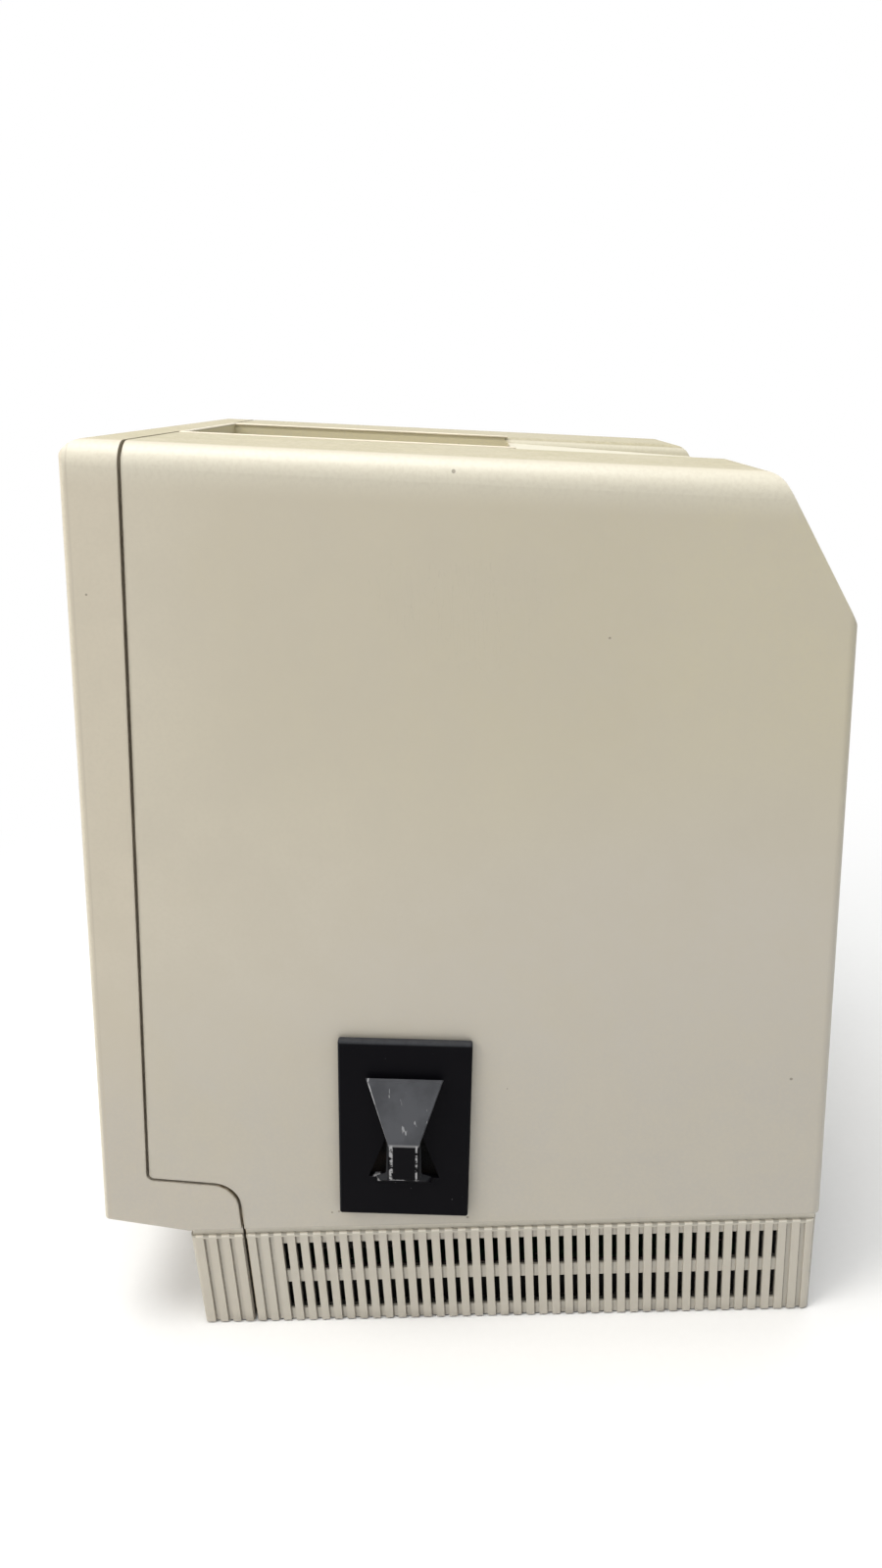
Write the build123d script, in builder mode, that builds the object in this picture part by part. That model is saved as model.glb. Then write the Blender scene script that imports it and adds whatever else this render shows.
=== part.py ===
from build123d import *
import os
from math import cos, radians, sin, sqrt, tan

# Compact desktop computer of the 1980s: picture tube, drives and boards in one moulded case.
# Millimetres, Z up, the screen faces -Y. The case is drawn about its own middle plane, X = 0,
# and every piece is shifted at the end so that the origin lies under the middle of the whole.

# Case, seen from the side: a leaning front, a top square to it, a chamfer and an upright rear
case_width = 244.0
case_depth = 277.5
front_reach = 137.75
crown_height = 346.0
chin_height = 54.7
base_line = 47.7
foot_setback = 32.4
rear_break_height = 274.8
lean = 5.6
chamfer_lean = 28.3
wall = 2.6
gap = 0.3
overrun = 5.0
crown_radius = 7.0
top_edge_radius = 8.0
front_edge_radius = 2.0
rear_edge_radius = 3.5
break_radius = 8.0
rear_break_radius = 6.0
chin_radius = 1.5

# Seam between bezel and rear case
bezel_top_depth = 18.8
bezel_low_depth = 17.3
step_front_height = 71.8
step_rear_height = 67.3
foot_seam_depth = 53.3
seam_gap = 1.2
seam_front_radius = 3.0
seam_foot_radius = 9.5
tongue_reach = 5.0
tongue_thickness = 1.4

# Ribbed and slotted base
pad_height = 0.8
base_draft = 1.2
band_inset = 1.75
rib_inset = 0.85
rib_top = 44.2
rib_bevel = 0.8
rib_bevel_slope = 45.0
rib_pitch = 5.17
groove_width = 2.05
bezel_grooves = 3
plain_grooves = 2
slot_columns = 38
slot_height = 13.6
slot_low_height = 12.7
slot_high_height = 31.9
front_groove_margin = 12.0

# Carrying well and the shallow channel behind it, in the top
well_width = 99.0
well_lip = 2.0
well_lip_depth = 8.0
well_undercut = 9.0
well_depth = 24.0
well_heel = 24.0
well_heel_depth = 9.0
ridge_reach = 144.6
channel_front_depth = 2.5
channel_rear_depth = 5.0
rim_radius = 3.5
rebate_width = 1.2
rebate_depth = 1.5

# Vents and openings in the rear
vent_pitch = 5.17
vent_columns = 10
vent_first = 60.0
vent_length = 36.0
fan_vent_columns = 9
fan_vent_length = 48.0
port_window_half = 96.0
port_window_low = 11.0
port_window_high = 31.0

# Screen opening and the picture tube behind it
screen_height = 182.0
opening_width = 206.0
opening_height = 158.0
opening_radius = 16.0
surround_depth = 18.0
surround_slope = 38.0
surround_wall = 4.0
glass_width = 206.0
glass_height = 156.0
glass_radius = 18.0
glass_gap = 0.5
glass_crown = 800.0
glass_apex = 6.0
glass_thickness = 4.0
skirt_depth = 24.0
funnel_depth = 96.0
funnel_radius = 34.0
cone_depth = 34.0
cone_clearance = 2.0
neck_radius = 14.5
neck_length = 76.0
post_radius = 5.0
post_out = 103.0
post_up = 78.0
post_end = 20.0
band_thickness = 1.4
band_depth = 14.0
ear_radius = 7.5
tube_screw_head_radius = 4.0
tube_screw_head = 2.4
tube_screw_radius = 1.7
tube_screw_length = 10.0
yoke_front_radius = 46.0
yoke_rear_radius = 31.0
yoke_length = 44.0
yoke_rim = 7.0
socket_radius = 12.0
socket_length = 10.0
neck_board_size = 58.0
board_thickness = 1.6
cup_radius = 11.0
cup_depth = 54.0
cup_height = 6.0
cup_slope = 20.0
lead_radius = 2.2
lead_rise = 8.0
lead_bend_share = 0.6

# Sheet steel chassis
sheet = 1.2
chassis_half = 112.0
chassis_front = -78.0
chassis_rear = 126.0
deck_low = 48.0
flange_window_low = 20.0
flange_window_high = 40.0
flange_window_margin = 14.0
rail_width = 10.0
rail_height = 12.0
upright_height = 288.0
upright_front = -72.0
upright_rear = 118.0
upright_window_low = 192.0
upright_window_high = 224.0
chassis_tab = 14.0
spacer_radius = 3.5
spacer_height = 3.0
spacer_margin = 8.0

# Logic board and what stands on it
logic_half = 110.0
logic_front = -70.0
logic_rear = 133.6
processor_length = 82.0
processor_width = 22.0
chip_height = 3.6
processor_x = -20.0
processor_y = 60.0
chip_length = 34.0
chip_width = 14.0
chip_rows = 2
chip_columns = 4
chip_pitch_x = 24.0
chip_pitch_y = 44.0
chip_field_x = -44.0
chip_field_y = 0.0
module_length = 89.0
module_height = 20.0
module_thickness = 1.2
module_pitch = 9.0
module_count = 4
module_x = 48.0
module_y = -58.0
socket_height = 7.0
socket_wall = 2.2
battery_radius = 7.3
battery_length = 25.0
battery_x = -84.0
battery_y = -52.0
battery_saddle = 3.0
connector_depth = 14.0
connector_face = 138.0
round_port = 14.0
round_port_height = 13.0
wide_port = 53.0
wide_port_height = 12.5
middle_port = 42.0
jack_port = 11.0
port_space = 4.5
port_proud = 1.2
port_shield_sheet = 0.6
port_shield_high = 40.0

# Analog board, its parts and the power supply
analog_low = 58.0
flyback_length = 44.0
flyback_width = 38.0
flyback_height = 50.0
flyback_y = 2.0
flyback_z = 258.0
flyback_core = 9.0
flyback_round = 4.0
capacitor_radius = 10.0
capacitor_length = 24.0
capacitor_pitch = 26.0
capacitor_count = 4
capacitor_y = -54.0
capacitor_z = 160.0
sink_length = 44.0
sink_height = 60.0
sink_base = 3.0
sink_fin = 16.0
sink_fin_thickness = 1.6
sink_fin_pitch = 7.2
sink_fins = 6
sink_y = 64.0
sink_z = 232.0
supply_width = 48.0
supply_front = 28.0
supply_rear = 118.0
supply_height = 80.0
supply_edge = 1.5
supply_vent_length = 40.0
supply_vent_width = 3.0
supply_vent_pitch = 8.0
supply_vents = 6
inlet_x = -84.0
inlet_z = 80.0
inlet_width = 28.0
inlet_height = 20.0
inlet_wall = 2.0
inlet_depth = 15.0
inlet_corner = 4.0
blade_width = 2.0
blade_height = 4.0
blade_spread = 7.0
blade_drop = 2.0
rocker_z = 111.0
rocker_width = 14.0
rocker_height = 21.0
rocker_wall = 2.0
rocker_well = 10.0
rocker_pivot_depth = 4.6
rocker_pin_radius = 1.5
rocker_play = 0.06
rocker_tilt = 7.0
rocker_thickness = 4.0
rocker_recess = 1.5
rocker_dish = 0.8
rocker_end_gap = 0.7

# Fan
fan_size = 60.0
fan_depth = 25.0
fan_front = 92.0
fan_bore = 28.0
fan_corner = 4.0
fan_hub_radius = 12.0
fan_hub_length = 18.0
fan_blade_count = 7
fan_blade_thickness = 1.4
fan_blade_pitch = 35.0
fan_tip_gap = 1.2
fan_pin_radius = 2.0
fan_play = 0.06
fan_strut = 4.0
fan_strut_depth = 3.0

# Drive bracket and drives
bay_x = 52.0
drive_width = 101.6
drive_gap = 0.3
floppy_front = -127.2
floppy_length = 148.0
floppy_low = 74.0
floppy_height = 41.0
floppy_sheet = 2.0
disk_level = 94.5
disk_slot_width = 96.0
disk_slot_height = 6.0
disk_notch_width = 26.0
disk_notch_depth = 12.0
disk_guide = 5.0
disk_guide_low = 88.4
disk_guide_high = 98.0
lid_end_y = -54.0
hub_y = -79.0
rotor_radius = 27.0
rotor_low = 77.0
rotor_thickness = 5.0
hub_radius = 12.0
hub_top = 90.4
spindle_pin_radius = 4.0
spindle_play = 0.06
spindle_pin_length = 10.0
carriage_front = -24.0
carriage_length = 22.0
carriage_half = 14.0
carriage_low = 79.0
carriage_high = 104.0
head_reach = 27.0
head_arm_half = 6.0
head_arm = 3.0
head_travel = 15.0
lower_arm_top = 90.2
upper_arm_low = 99.4
guide_radius = 1.5
guide_play = 0.05
guide_spread = 8.0
guide_z = 84.0
guide_rear = 16.0
guide_block_top = 86.4
screw_play = 0.06
guide_block = 3.0
screw_x = 74.0
screw_radius = 1.8
screw_eye = 4.2
motor_size = 16.0
motor_length = 14.0
shelf_low = 118.8
hard_drive_front = -44.0
hard_drive_length = 146.0
hard_drive_height = 41.3
hard_drive_lid = 3.0
hard_drive_edge = 4.0
hard_drive_step = 10.0
shelf_hole_length = 40.0
shelf_hole_margin = 20.0
hard_board_margin = 4.0
bracket_front_height = 108.0
bracket_rear_height = 150.0
bracket_foot = 9.0

# Ribbon cables and harness
ribbon_thickness = 0.9
ribbon_width = 26.0
ribbon_bend = 4.0
floppy_ribbon_x = 40.0
floppy_ribbon_y = 34.0
floppy_ribbon_z = 84.0
drive_ribbon_x = 48.0
drive_ribbon_y = 112.0
drive_ribbon_z = 134.0
header_height = 9.0
header_depth = 6.0
deck_hole_depth = 12.0
harness_radius = 4.0
harness_x = -96.0
harness_y = 14.0
harness_z = 66.0
harness_bend = 9.0
harness_hole = 7.0

# Small pieces of the front
speaker_x = -50.0
speaker_height = 46.0
speaker_radius = 28.0
speaker_depth = 18.0
speaker_slope = 40.0
speaker_magnet_radius = 16.0
speaker_rim = 3.0
light_x = -14.0
light_height = 40.0
light_radius = 1.9
light_flange_radius = 3.0
light_length = 7.0
wheel_x = -88.0
wheel_y = -121.0
wheel_radius = 14.0
wheel_width = 5.0
wheel_proud = 3.0
wheel_teeth = 24
wheel_tooth = 0.5
control_radius = 7.0
control_depth = 8.0
control_shaft_radius = 2.95
control_play = 0.06
chin_wall_share = 1.08

# Case screws, feet and the cover of the expansion opening
screw_head_radius = 3.6
screw_head = 2.4
shank_radius = 1.8
shank_gap = 0.15
shank_length = 10.0
boss_radius = 5.0
handle_screw_x = 34.0
handle_screw_depth = 17.0
rear_screw_x = 104.0
rear_screw_z = 58.0
rear_screw_sink = 3.0
rear_boss_length = 9.0
pad_radius = 7.0
pad_x = 98.0
pad_front_y = -93.5
pad_rear_y = 118.0
cover_x = 44.0
cover_z = 84.0
cover_width = 96.0
cover_height = 22.0
cover_lip = 2.0
cover_lip_thickness = 1.2

# Dock plate for a copy holder, stuck to the side by a foam pad, slightly out of true
dock_y = -17.5
dock_z = 92.9
dock_tilt = 4.0
dock_width = 49.2
dock_height = 76.1
dock_thickness = 2.6
dock_corner = 1.0
dock_round = 0.8
dock_pad_thickness = 0.6
dock_pad_margin = 2.5
dock_hole_low = -20.5
dock_hole_high = 8.0
dock_hole_base = 26.8
dock_hole_crest = 6.0
tab_root = -23.0
tab_foot_height = -18.4
tab_foot_reach = 4.6
tab_ridge_height = -2.1
tab_ridge_reach = 6.0
tab_head_height = 23.4
tab_head_reach = 3.4
tab_thickness = 2.2
tab_stem_width = 11.0
tab_head_width = 25.4
tab_root_width = 17.0
tab_draft = 18.0

# Places worked out from the driving sizes
rise = tan(radians(lean))
half_width = case_width / 2
front_y = -front_reach
rear_y = case_depth - front_reach
foot_y = front_y + foot_setback
crown_y = front_y + (crown_height - chin_height) * rise
face_height = (crown_height - chin_height) / cos(radians(lean))
chamfer_run = tan(radians(chamfer_lean))
break_fall = rear_y + chamfer_run * rear_break_height - crown_y
break_height = (crown_height - rise * break_fall) / (1 - chamfer_run * rise)
break_y = rear_y - chamfer_run * (break_height - rear_break_height)
base_bottom = pad_height
rib_depth = band_inset - rib_inset
bezel_wall = wall + gap + tongue_thickness
floor_top = base_bottom + wall
foot_seam_y = front_y + foot_seam_depth
seam_groove_y = foot_seam_y + seam_gap / 2
deck_top = deck_low + sheet
board_level = rail_height + board_thickness
chin_fall = (chin_height - base_line) / foot_setback
dock_reach = dock_pad_thickness + dock_thickness + tab_ridge_reach
rear_tab_y = rear_y - rear_boss_length
width_shift = dock_reach / 2
depth_shift = (front_y + rear_y) / 2

# The leaning front face: local X across, local Y up the face, local Z out of it
front_plane = Plane(
    origin=(0, front_y, chin_height),
    x_dir=(1, 0, 0),
    z_dir=(0, -cos(radians(lean)), sin(radians(lean))),
)
# Square to the front: local Y runs inwards, parallel to the top
plan_plane = Plane(
    origin=(0, front_y, chin_height),
    x_dir=(1, 0, 0),
    z_dir=(0, sin(radians(lean)), cos(radians(lean))),
)
# The middle plane, tilted with the case: local X back along the top, local Y above it
top_profile = Plane(
    origin=(0, crown_y, crown_height),
    x_dir=(0, cos(radians(lean)), -sin(radians(lean))),
    z_dir=(1, 0, 0),
)
# The chamfer: local X across, local Y up the slope, local Z out of it
chamfer_plane = Plane(
    origin=(0, rear_y, rear_break_height),
    x_dir=(-1, 0, 0),
    z_dir=(0, cos(radians(chamfer_lean)), sin(radians(chamfer_lean))),
)


def slab(x_low, x_high, y_low, y_high, z_low, z_high, mode=Mode.ADD):
    """Box between six limits, in the part that is being built."""
    with Locations(((x_low + x_high) / 2, (y_low + y_high) / 2, (z_low + z_high) / 2)):
        Box(x_high - x_low, y_high - y_low, z_high - z_low, mode=mode)


def rod(radius, start, axis, length, mode=Mode.ADD):
    """Cylinder from a start point along an axis, in the part that is being built."""
    with BuildSketch(Plane(origin=start, z_dir=axis)) as section:
        Circle(radius)
    extrude(section.sketch, amount=length, mode=mode)


def chin_level(y):
    """Height of the slanting underside of the chin."""
    return chin_height - (y - front_y) * chin_fall


def tube_point(depth, up=0.0):
    """Point on the tube's axis, a depth behind the front face."""
    return front_plane.from_local_coords((0, screen_height + up, -depth))


def case_form(inset):
    """Closed form of the case, every face moved in by an inset; the full one has its edges rounded."""
    with BuildPart() as form:
        with BuildSketch(Plane.YZ):
            with BuildLine():
                FilletPolyline(
                    (front_y, chin_height),
                    (crown_y, crown_height),
                    (break_y, break_height),
                    (rear_y, rear_break_height),
                    (rear_y, base_line),
                    (foot_y, base_line),
                    radius=[chin_radius, crown_radius, break_radius, rear_break_radius, 0, 0],
                    close=True,
                )
            make_face()
            if inset > 0:
                offset(amount=-inset, kind=Kind.INTERSECTION)
        extrude(amount=half_width - inset, both=True)
        with BuildSketch(front_plane.offset(overrun)):
            with BuildLine():
                side = half_width - inset
                top = face_height - inset
                corner = top_edge_radius - inset
                FilletPolyline(
                    (-side, -case_depth),
                    (side, -case_depth),
                    (side, top),
                    (-side, top),
                    radius=[0, 0, corner, corner],
                    close=True,
                )
            make_face()
        extrude(amount=-case_depth * 2, mode=Mode.INTERSECT)
        if inset == 0:
            with BuildSketch(plan_plane.offset(-case_depth)):
                with BuildLine():
                    FilletPolyline(
                        (-half_width, 0),
                        (half_width, 0),
                        (half_width, case_depth * 2),
                        (-half_width, case_depth * 2),
                        radius=[front_edge_radius, front_edge_radius, 0, 0],
                        close=True,
                    )
                make_face()
            extrude(amount=case_depth * 3, mode=Mode.INTERSECT)
            with BuildSketch(Plane.XY):
                with BuildLine():
                    FilletPolyline(
                        (-half_width, -case_depth),
                        (half_width, -case_depth),
                        (half_width, rear_y),
                        (-half_width, rear_y),
                        radius=[0, 0, rear_edge_radius, rear_edge_radius],
                        close=True,
                    )
                make_face()
            extrude(amount=case_depth * 2, mode=Mode.INTERSECT)
        with BuildSketch(Plane.XY.offset(base_line + inset)):
            base_front = foot_y + rib_depth + inset
            base_rear = rear_y - band_inset - inset
            with Locations((0, (base_front + base_rear) / 2)):
                Rectangle((half_width - band_inset - inset) * 2, base_rear - base_front)
        extrude(amount=-(base_line - base_bottom), taper=base_draft)
    return form.part


def seam_region(growth):
    """Everything in front of the seam, grown by an amount, as a wide prism."""
    top_y = crown_y + bezel_top_depth * cos(radians(lean))
    low_y = front_y + (step_front_height - chin_height) * rise + bezel_low_depth
    seam_run = (top_y - low_y) / (crown_height - step_front_height)
    far = case_depth
    with BuildPart() as region:
        with BuildSketch(Plane.YZ):
            with BuildLine():
                FilletPolyline(
                    (-far, -far),
                    (foot_seam_y, -far),
                    (foot_seam_y, step_rear_height),
                    (low_y, step_front_height),
                    (top_y + seam_run * far, crown_height + far),
                    (-far, crown_height + far),
                    radius=[0, 0, seam_foot_radius, seam_front_radius, 0, 0],
                    close=True,
                )
            make_face()
            if growth > 0:
                offset(amount=growth, kind=Kind.ARC)
        extrude(amount=case_width, both=True)
    return region.part


def rib_layer():
    """Raised ribs round the base: a drafted ring with a bevelled top, parted on sides and front."""
    rib_half = half_width - rib_inset
    with BuildPart() as layer:
        with BuildSketch(Plane.XY.offset(rib_top)):
            with BuildLine():
                FilletPolyline(
                    (-rib_half, foot_y),
                    (rib_half, foot_y),
                    (rib_half, rear_y - rib_inset),
                    (-rib_half, rear_y - rib_inset),
                    radius=[front_edge_radius, front_edge_radius, rear_edge_radius, rear_edge_radius],
                    close=True,
                )
            make_face()
        extrude(amount=-(rib_top - base_bottom), taper=base_draft)
        extrude(layer.faces().sort_by(Axis.Z)[-1], amount=rib_bevel, taper=rib_bevel_slope)
        cut = rib_depth + wall / 2
        side_count = bezel_grooves + 1 + plain_grooves + slot_columns + plain_grooves
        places = []
        for number in range(side_count):
            y = seam_groove_y + (number - bezel_grooves) * rib_pitch
            places += [(-half_width, y), (half_width, y)]
        with BuildSketch(Plane.XY.offset(-overrun)):
            with Locations(*places):
                Rectangle(2 * (cut + rib_inset), groove_width)
        extrude(amount=base_line, mode=Mode.SUBTRACT)
        front_half_count = int((half_width - front_groove_margin) / rib_pitch)
        front_places = range(-front_half_count, front_half_count + 1)
        with BuildSketch(Plane.XY.offset(-overrun)):
            with Locations(*[(number * rib_pitch, foot_y) for number in front_places]):
                Rectangle(groove_width, 2 * cut)
        extrude(amount=base_line, mode=Mode.SUBTRACT)
        with BuildSketch(Plane.XY.offset(rib_top + rib_bevel)):
            inner_front = foot_y + cut
            inner_rear = rear_y - rib_inset - cut
            with Locations((0, (inner_front + inner_rear) / 2)):
                Rectangle((rib_half - cut) * 2, inner_rear - inner_front)
        extrude(amount=-base_line, taper=base_draft, mode=Mode.SUBTRACT)
    return layer.part


def slot_bars():
    """Bars that cut the two rows of slots through both sides at once."""
    first = seam_groove_y + (plain_grooves + 1) * rib_pitch
    middle = first + (slot_columns - 1) / 2 * rib_pitch
    row_middle = (slot_low_height + slot_high_height) / 2
    row_gap = slot_high_height - slot_low_height
    with BuildPart() as bars:
        with BuildSketch(Plane.YZ):
            with Locations((middle, row_middle)):
                with GridLocations(rib_pitch, row_gap, slot_columns, 2):
                    Rectangle(groove_width, slot_height)
        extrude(amount=half_width + overrun, both=True)
    return bars.part


def well_outline(growth):
    """Side outline of the carrying well, with its finger undercut, as a face grown by an amount."""
    front = bezel_top_depth + seam_gap + well_lip
    with BuildSketch(top_profile) as outline:
        with BuildLine():
            Polyline(
                (front, overrun),
                (front, -well_lip_depth),
                (front - well_undercut, -well_lip_depth - well_lip * 2),
                (front - well_undercut, -well_depth),
                (ridge_reach - well_heel, -well_depth),
                (ridge_reach - rebate_width, -well_heel_depth),
                (ridge_reach, -channel_front_depth),
                (ridge_reach, overrun),
                close=True,
            )
        make_face()
        if growth > 0:
            offset(amount=growth, kind=Kind.INTERSECTION)
    return outline.sketch


def channel_outline(growth):
    """Side outline of the shallow channel behind the well, as a face grown by an amount."""
    rear = (break_y - crown_y) / cos(radians(lean)) + overrun * 4
    slope = (channel_rear_depth - channel_front_depth) / (rear - ridge_reach)
    with BuildSketch(top_profile) as outline:
        with BuildLine():
            Polyline(
                (ridge_reach - rebate_width, overrun * 2),
                (ridge_reach - rebate_width, -channel_front_depth + slope * rebate_width),
                (rear + overrun * 4, -channel_rear_depth - slope * overrun * 4),
                (rear + overrun * 4, overrun * 2),
                close=True,
            )
        make_face()
        if growth > 0:
            offset(amount=growth, kind=Kind.INTERSECTION)
    return outline.sketch


def well_cutter():
    """The open spaces of the well and the channel, whose rims are rounded behind the ridge."""
    half = well_width / 2
    with BuildPart() as cutter:
        with BuildSketch(front_plane.offset(overrun)):
            with BuildLine():
                top = face_height
                Polyline(
                    (half + rim_radius, top),
                    (half + rim_radius, top + overrun * 2),
                    (-half - rim_radius, top + overrun * 2),
                    (-half - rim_radius, top),
                )
                RadiusArc((-half - rim_radius, top), (-half, top - rim_radius), rim_radius)
                Polyline(
                    (-half, top - rim_radius),
                    (-half, top - case_width),
                    (half, top - case_width),
                    (half, top - rim_radius),
                )
                RadiusArc((half, top - rim_radius), (half + rim_radius, top), rim_radius)
            make_face()
        extrude(amount=-case_depth * 2)
        extrude(channel_outline(0), amount=case_width, both=True, mode=Mode.INTERSECT)
        extrude(well_outline(0), amount=half, both=True)
        front = bezel_top_depth + seam_gap + well_lip
        with BuildSketch(top_profile):
            with Locations(((front + ridge_reach) / 2, 0)):
                Rectangle(ridge_reach - front, rebate_depth * 2)
        extrude(amount=half + rebate_width / 2, both=True)
    return cutter.part


# Forms that several pieces share
outer_form = case_form(0)
rear_hollow = case_form(wall)
bezel_hollow = case_form(bezel_wall)
tongue_form = case_form(wall + gap)
ribs = rib_layer()
front_region = seam_region(0)
seam_space = seam_region(seam_gap)
tongue_region = seam_region(tongue_reach)
well_space = well_cutter()

with BuildPart() as well_skin:
    extrude(well_outline(wall), amount=well_width / 2 + wall, both=True)
    extrude(channel_outline(wall), amount=well_width / 2 + rim_radius + wall, both=True)
    add(outer_form, mode=Mode.INTERSECT)

with BuildPart() as well_clearance:
    extrude(well_outline(wall + gap), amount=well_width / 2 + wall + gap, both=True)

# Skin of the well where it reaches under the bezel
with BuildPart() as grip:
    add(well_skin.part)
    add(seam_space, mode=Mode.INTERSECT)
    add(case_form(bezel_wall + gap), mode=Mode.INTERSECT)

# Rear case: one deep moulding with the well in its top
board_face_x = -chassis_half + sheet + spacer_height + board_thickness
fan_x = board_face_x + gap + fan_size / 2
fan_z = deck_top + supply_height + fan_size / 2
handle_screw_up = face_height - handle_screw_depth
screw_seat = bezel_top_depth + seam_gap + well_lip - well_undercut


def port_window():
    """Window in the rear of the base that shows the connectors."""
    with BuildPart() as window:
        slab(
            -port_window_half,
            port_window_half,
            rear_y - band_inset - wall * 2,
            rear_y + overrun,
            port_window_low,
            port_window_high,
        )
    return window.part


with BuildPart() as rear_ribs:
    add(ribs)
    add(seam_space, mode=Mode.SUBTRACT)
    add(port_window(), mode=Mode.SUBTRACT)

with BuildPart() as rear_case:
    add(outer_form)
    add(rear_hollow, mode=Mode.SUBTRACT)
    add(well_skin.part)
    for x in (-rear_screw_x, rear_screw_x):
        rod(boss_radius, (x, rear_y - wall / 2, rear_screw_z), (0, -1, 0), rear_boss_length - wall / 2)
    add(seam_space, mode=Mode.SUBTRACT)
    add(grip.part)
    add(well_space, mode=Mode.SUBTRACT)
    for x in (-rear_screw_x, rear_screw_x):
        rod(screw_head_radius + gap, (x, rear_y, rear_screw_z), (0, -1, 0), rear_screw_sink, Mode.SUBTRACT)
    with BuildSketch(chamfer_plane.offset(overrun)):
        for side in (-1, 1):
            vent_middle = side * (vent_first + (vent_columns - 1) / 2 * vent_pitch)
            with Locations((vent_middle, vent_length / 2 + break_radius)):
                with GridLocations(vent_pitch, 0, vent_columns, 1):
                    SlotOverall(vent_length, groove_width, rotation=90)
    extrude(amount=-overrun - wall * 2, mode=Mode.SUBTRACT)
    with BuildSketch(Plane.XZ.offset(-rear_y - overrun)):
        with Locations((fan_x, fan_z)):
            with GridLocations(vent_pitch, 0, fan_vent_columns, 1):
                SlotOverall(fan_vent_length, groove_width, rotation=90)
        with Locations((inlet_x, inlet_z)):
            Rectangle(inlet_width + gap * 2, inlet_height + gap * 2)
        with Locations((inlet_x, rocker_z)):
            Rectangle(rocker_width + (rocker_wall + gap) * 2, rocker_height + (rocker_wall + gap) * 2)
        with Locations((cover_x, cover_z)):
            Rectangle(cover_width, cover_height)
        with Locations((-rear_screw_x, rear_screw_z), (rear_screw_x, rear_screw_z)):
            Circle(shank_radius + shank_gap)
    extrude(amount=overrun + rear_boss_length + wall, mode=Mode.SUBTRACT)
    for x in (-handle_screw_x, handle_screw_x):
        start = front_plane.from_local_coords((x, handle_screw_up, -screw_seat - overrun))
        rod(shank_radius + shank_gap, start, front_plane.z_dir, overrun + wall * 2, Mode.SUBTRACT)
    add(port_window(), mode=Mode.SUBTRACT)
    add(rear_ribs.part)
    add(slot_bars(), mode=Mode.SUBTRACT)

# Sloped surround of the screen, cut behind to the curve of the glass
glass_middle = tube_point(glass_apex + glass_crown)
with BuildPart() as surround:
    with BuildSketch(front_plane):
        with Locations((0, screen_height)):
            outer_width = opening_width + surround_wall * 2
            outer_height = opening_height + surround_wall * 2
            RectangleRounded(outer_width, outer_height, opening_radius + surround_wall)
    extrude(amount=-surround_depth, taper=surround_slope)
    with Locations(glass_middle):
        Sphere(glass_crown + glass_gap, mode=Mode.SUBTRACT)

# Joint between the two mouldings: a tongue inside the bezel that slides into the rear case
with BuildPart() as tongue:
    add(tongue_form)
    add(tongue_region, mode=Mode.INTERSECT)
    add(bezel_hollow, mode=Mode.SUBTRACT)
    add(well_clearance.part, mode=Mode.SUBTRACT)

# Front bezel
disk_up = (disk_level - chin_height) / cos(radians(lean))
slot_top = disk_slot_height / 2
wheel_z = chin_level(wheel_y) - wheel_proud + wheel_radius
wheel_slot_rise = wheel_radius - wheel_proud - bezel_wall - wheel_width * chin_fall
wheel_slot_half = sqrt(wheel_radius**2 - wheel_slot_rise**2) + gap
with BuildPart() as front_ribs:
    add(ribs)
    add(front_region, mode=Mode.INTERSECT)

with BuildPart() as front_bezel:
    add(outer_form)
    add(front_region, mode=Mode.INTERSECT)
    add(bezel_hollow, mode=Mode.SUBTRACT)
    add(tongue.part)
    add(surround.part)
    for x in (-post_out, post_out):
        for up in (-post_up, post_up):
            rod(post_radius, tube_point(bezel_wall / 2, up) + Vector(x, 0, 0), -front_plane.z_dir, post_end)
    for x in (-handle_screw_x, handle_screw_x):
        start = front_plane.from_local_coords((x, handle_screw_up, -bezel_wall / 2))
        rod(boss_radius, start, -front_plane.z_dir, screw_seat - wall - gap - bezel_wall / 2)
    with BuildSketch(front_plane):
        with Locations((0, screen_height)):
            RectangleRounded(opening_width, opening_height, opening_radius)
    extrude(amount=-surround_depth - overrun, taper=surround_slope, mode=Mode.SUBTRACT)
    with BuildSketch(front_plane.offset(overrun)):
        with Locations((bay_x, disk_up)):
            SlotOverall(disk_slot_width, disk_slot_height)
        with Locations((bay_x, disk_up + slot_top), (bay_x, disk_up - slot_top)):
            SlotOverall(disk_notch_width, disk_notch_depth)
        with Locations((light_x, light_height)):
            Circle(light_radius + shank_gap)
    extrude(amount=-overrun - bezel_wall * 2, mode=Mode.SUBTRACT)
    for x in (-post_out, post_out):
        for up in (-post_up, post_up):
            start = tube_point(post_end + bezel_wall, up) + Vector(x, 0, 0)
            rod(tube_screw_radius + shank_gap, start, front_plane.z_dir, tube_screw_length, Mode.SUBTRACT)
    for x in (-handle_screw_x, handle_screw_x):
        start = front_plane.from_local_coords((x, handle_screw_up, -screw_seat))
        rod(shank_radius + shank_gap, start, front_plane.z_dir, shank_length + gap, Mode.SUBTRACT)
    slab(
        wheel_x - wheel_slot_half,
        wheel_x + wheel_slot_half,
        wheel_y - wheel_width / 2 - gap * 2,
        wheel_y + wheel_width / 2 + gap * 2,
        base_line,
        wheel_z,
        Mode.SUBTRACT,
    )
    add(front_ribs.part)

# Picture tube: curved glass face, skirt, funnel, cone and neck, hollow inside
skirt_end = glass_apex + skirt_depth
funnel_end = skirt_end + funnel_depth
cone_end = funnel_end + cone_depth
neck_end = cone_end + neck_length


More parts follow.
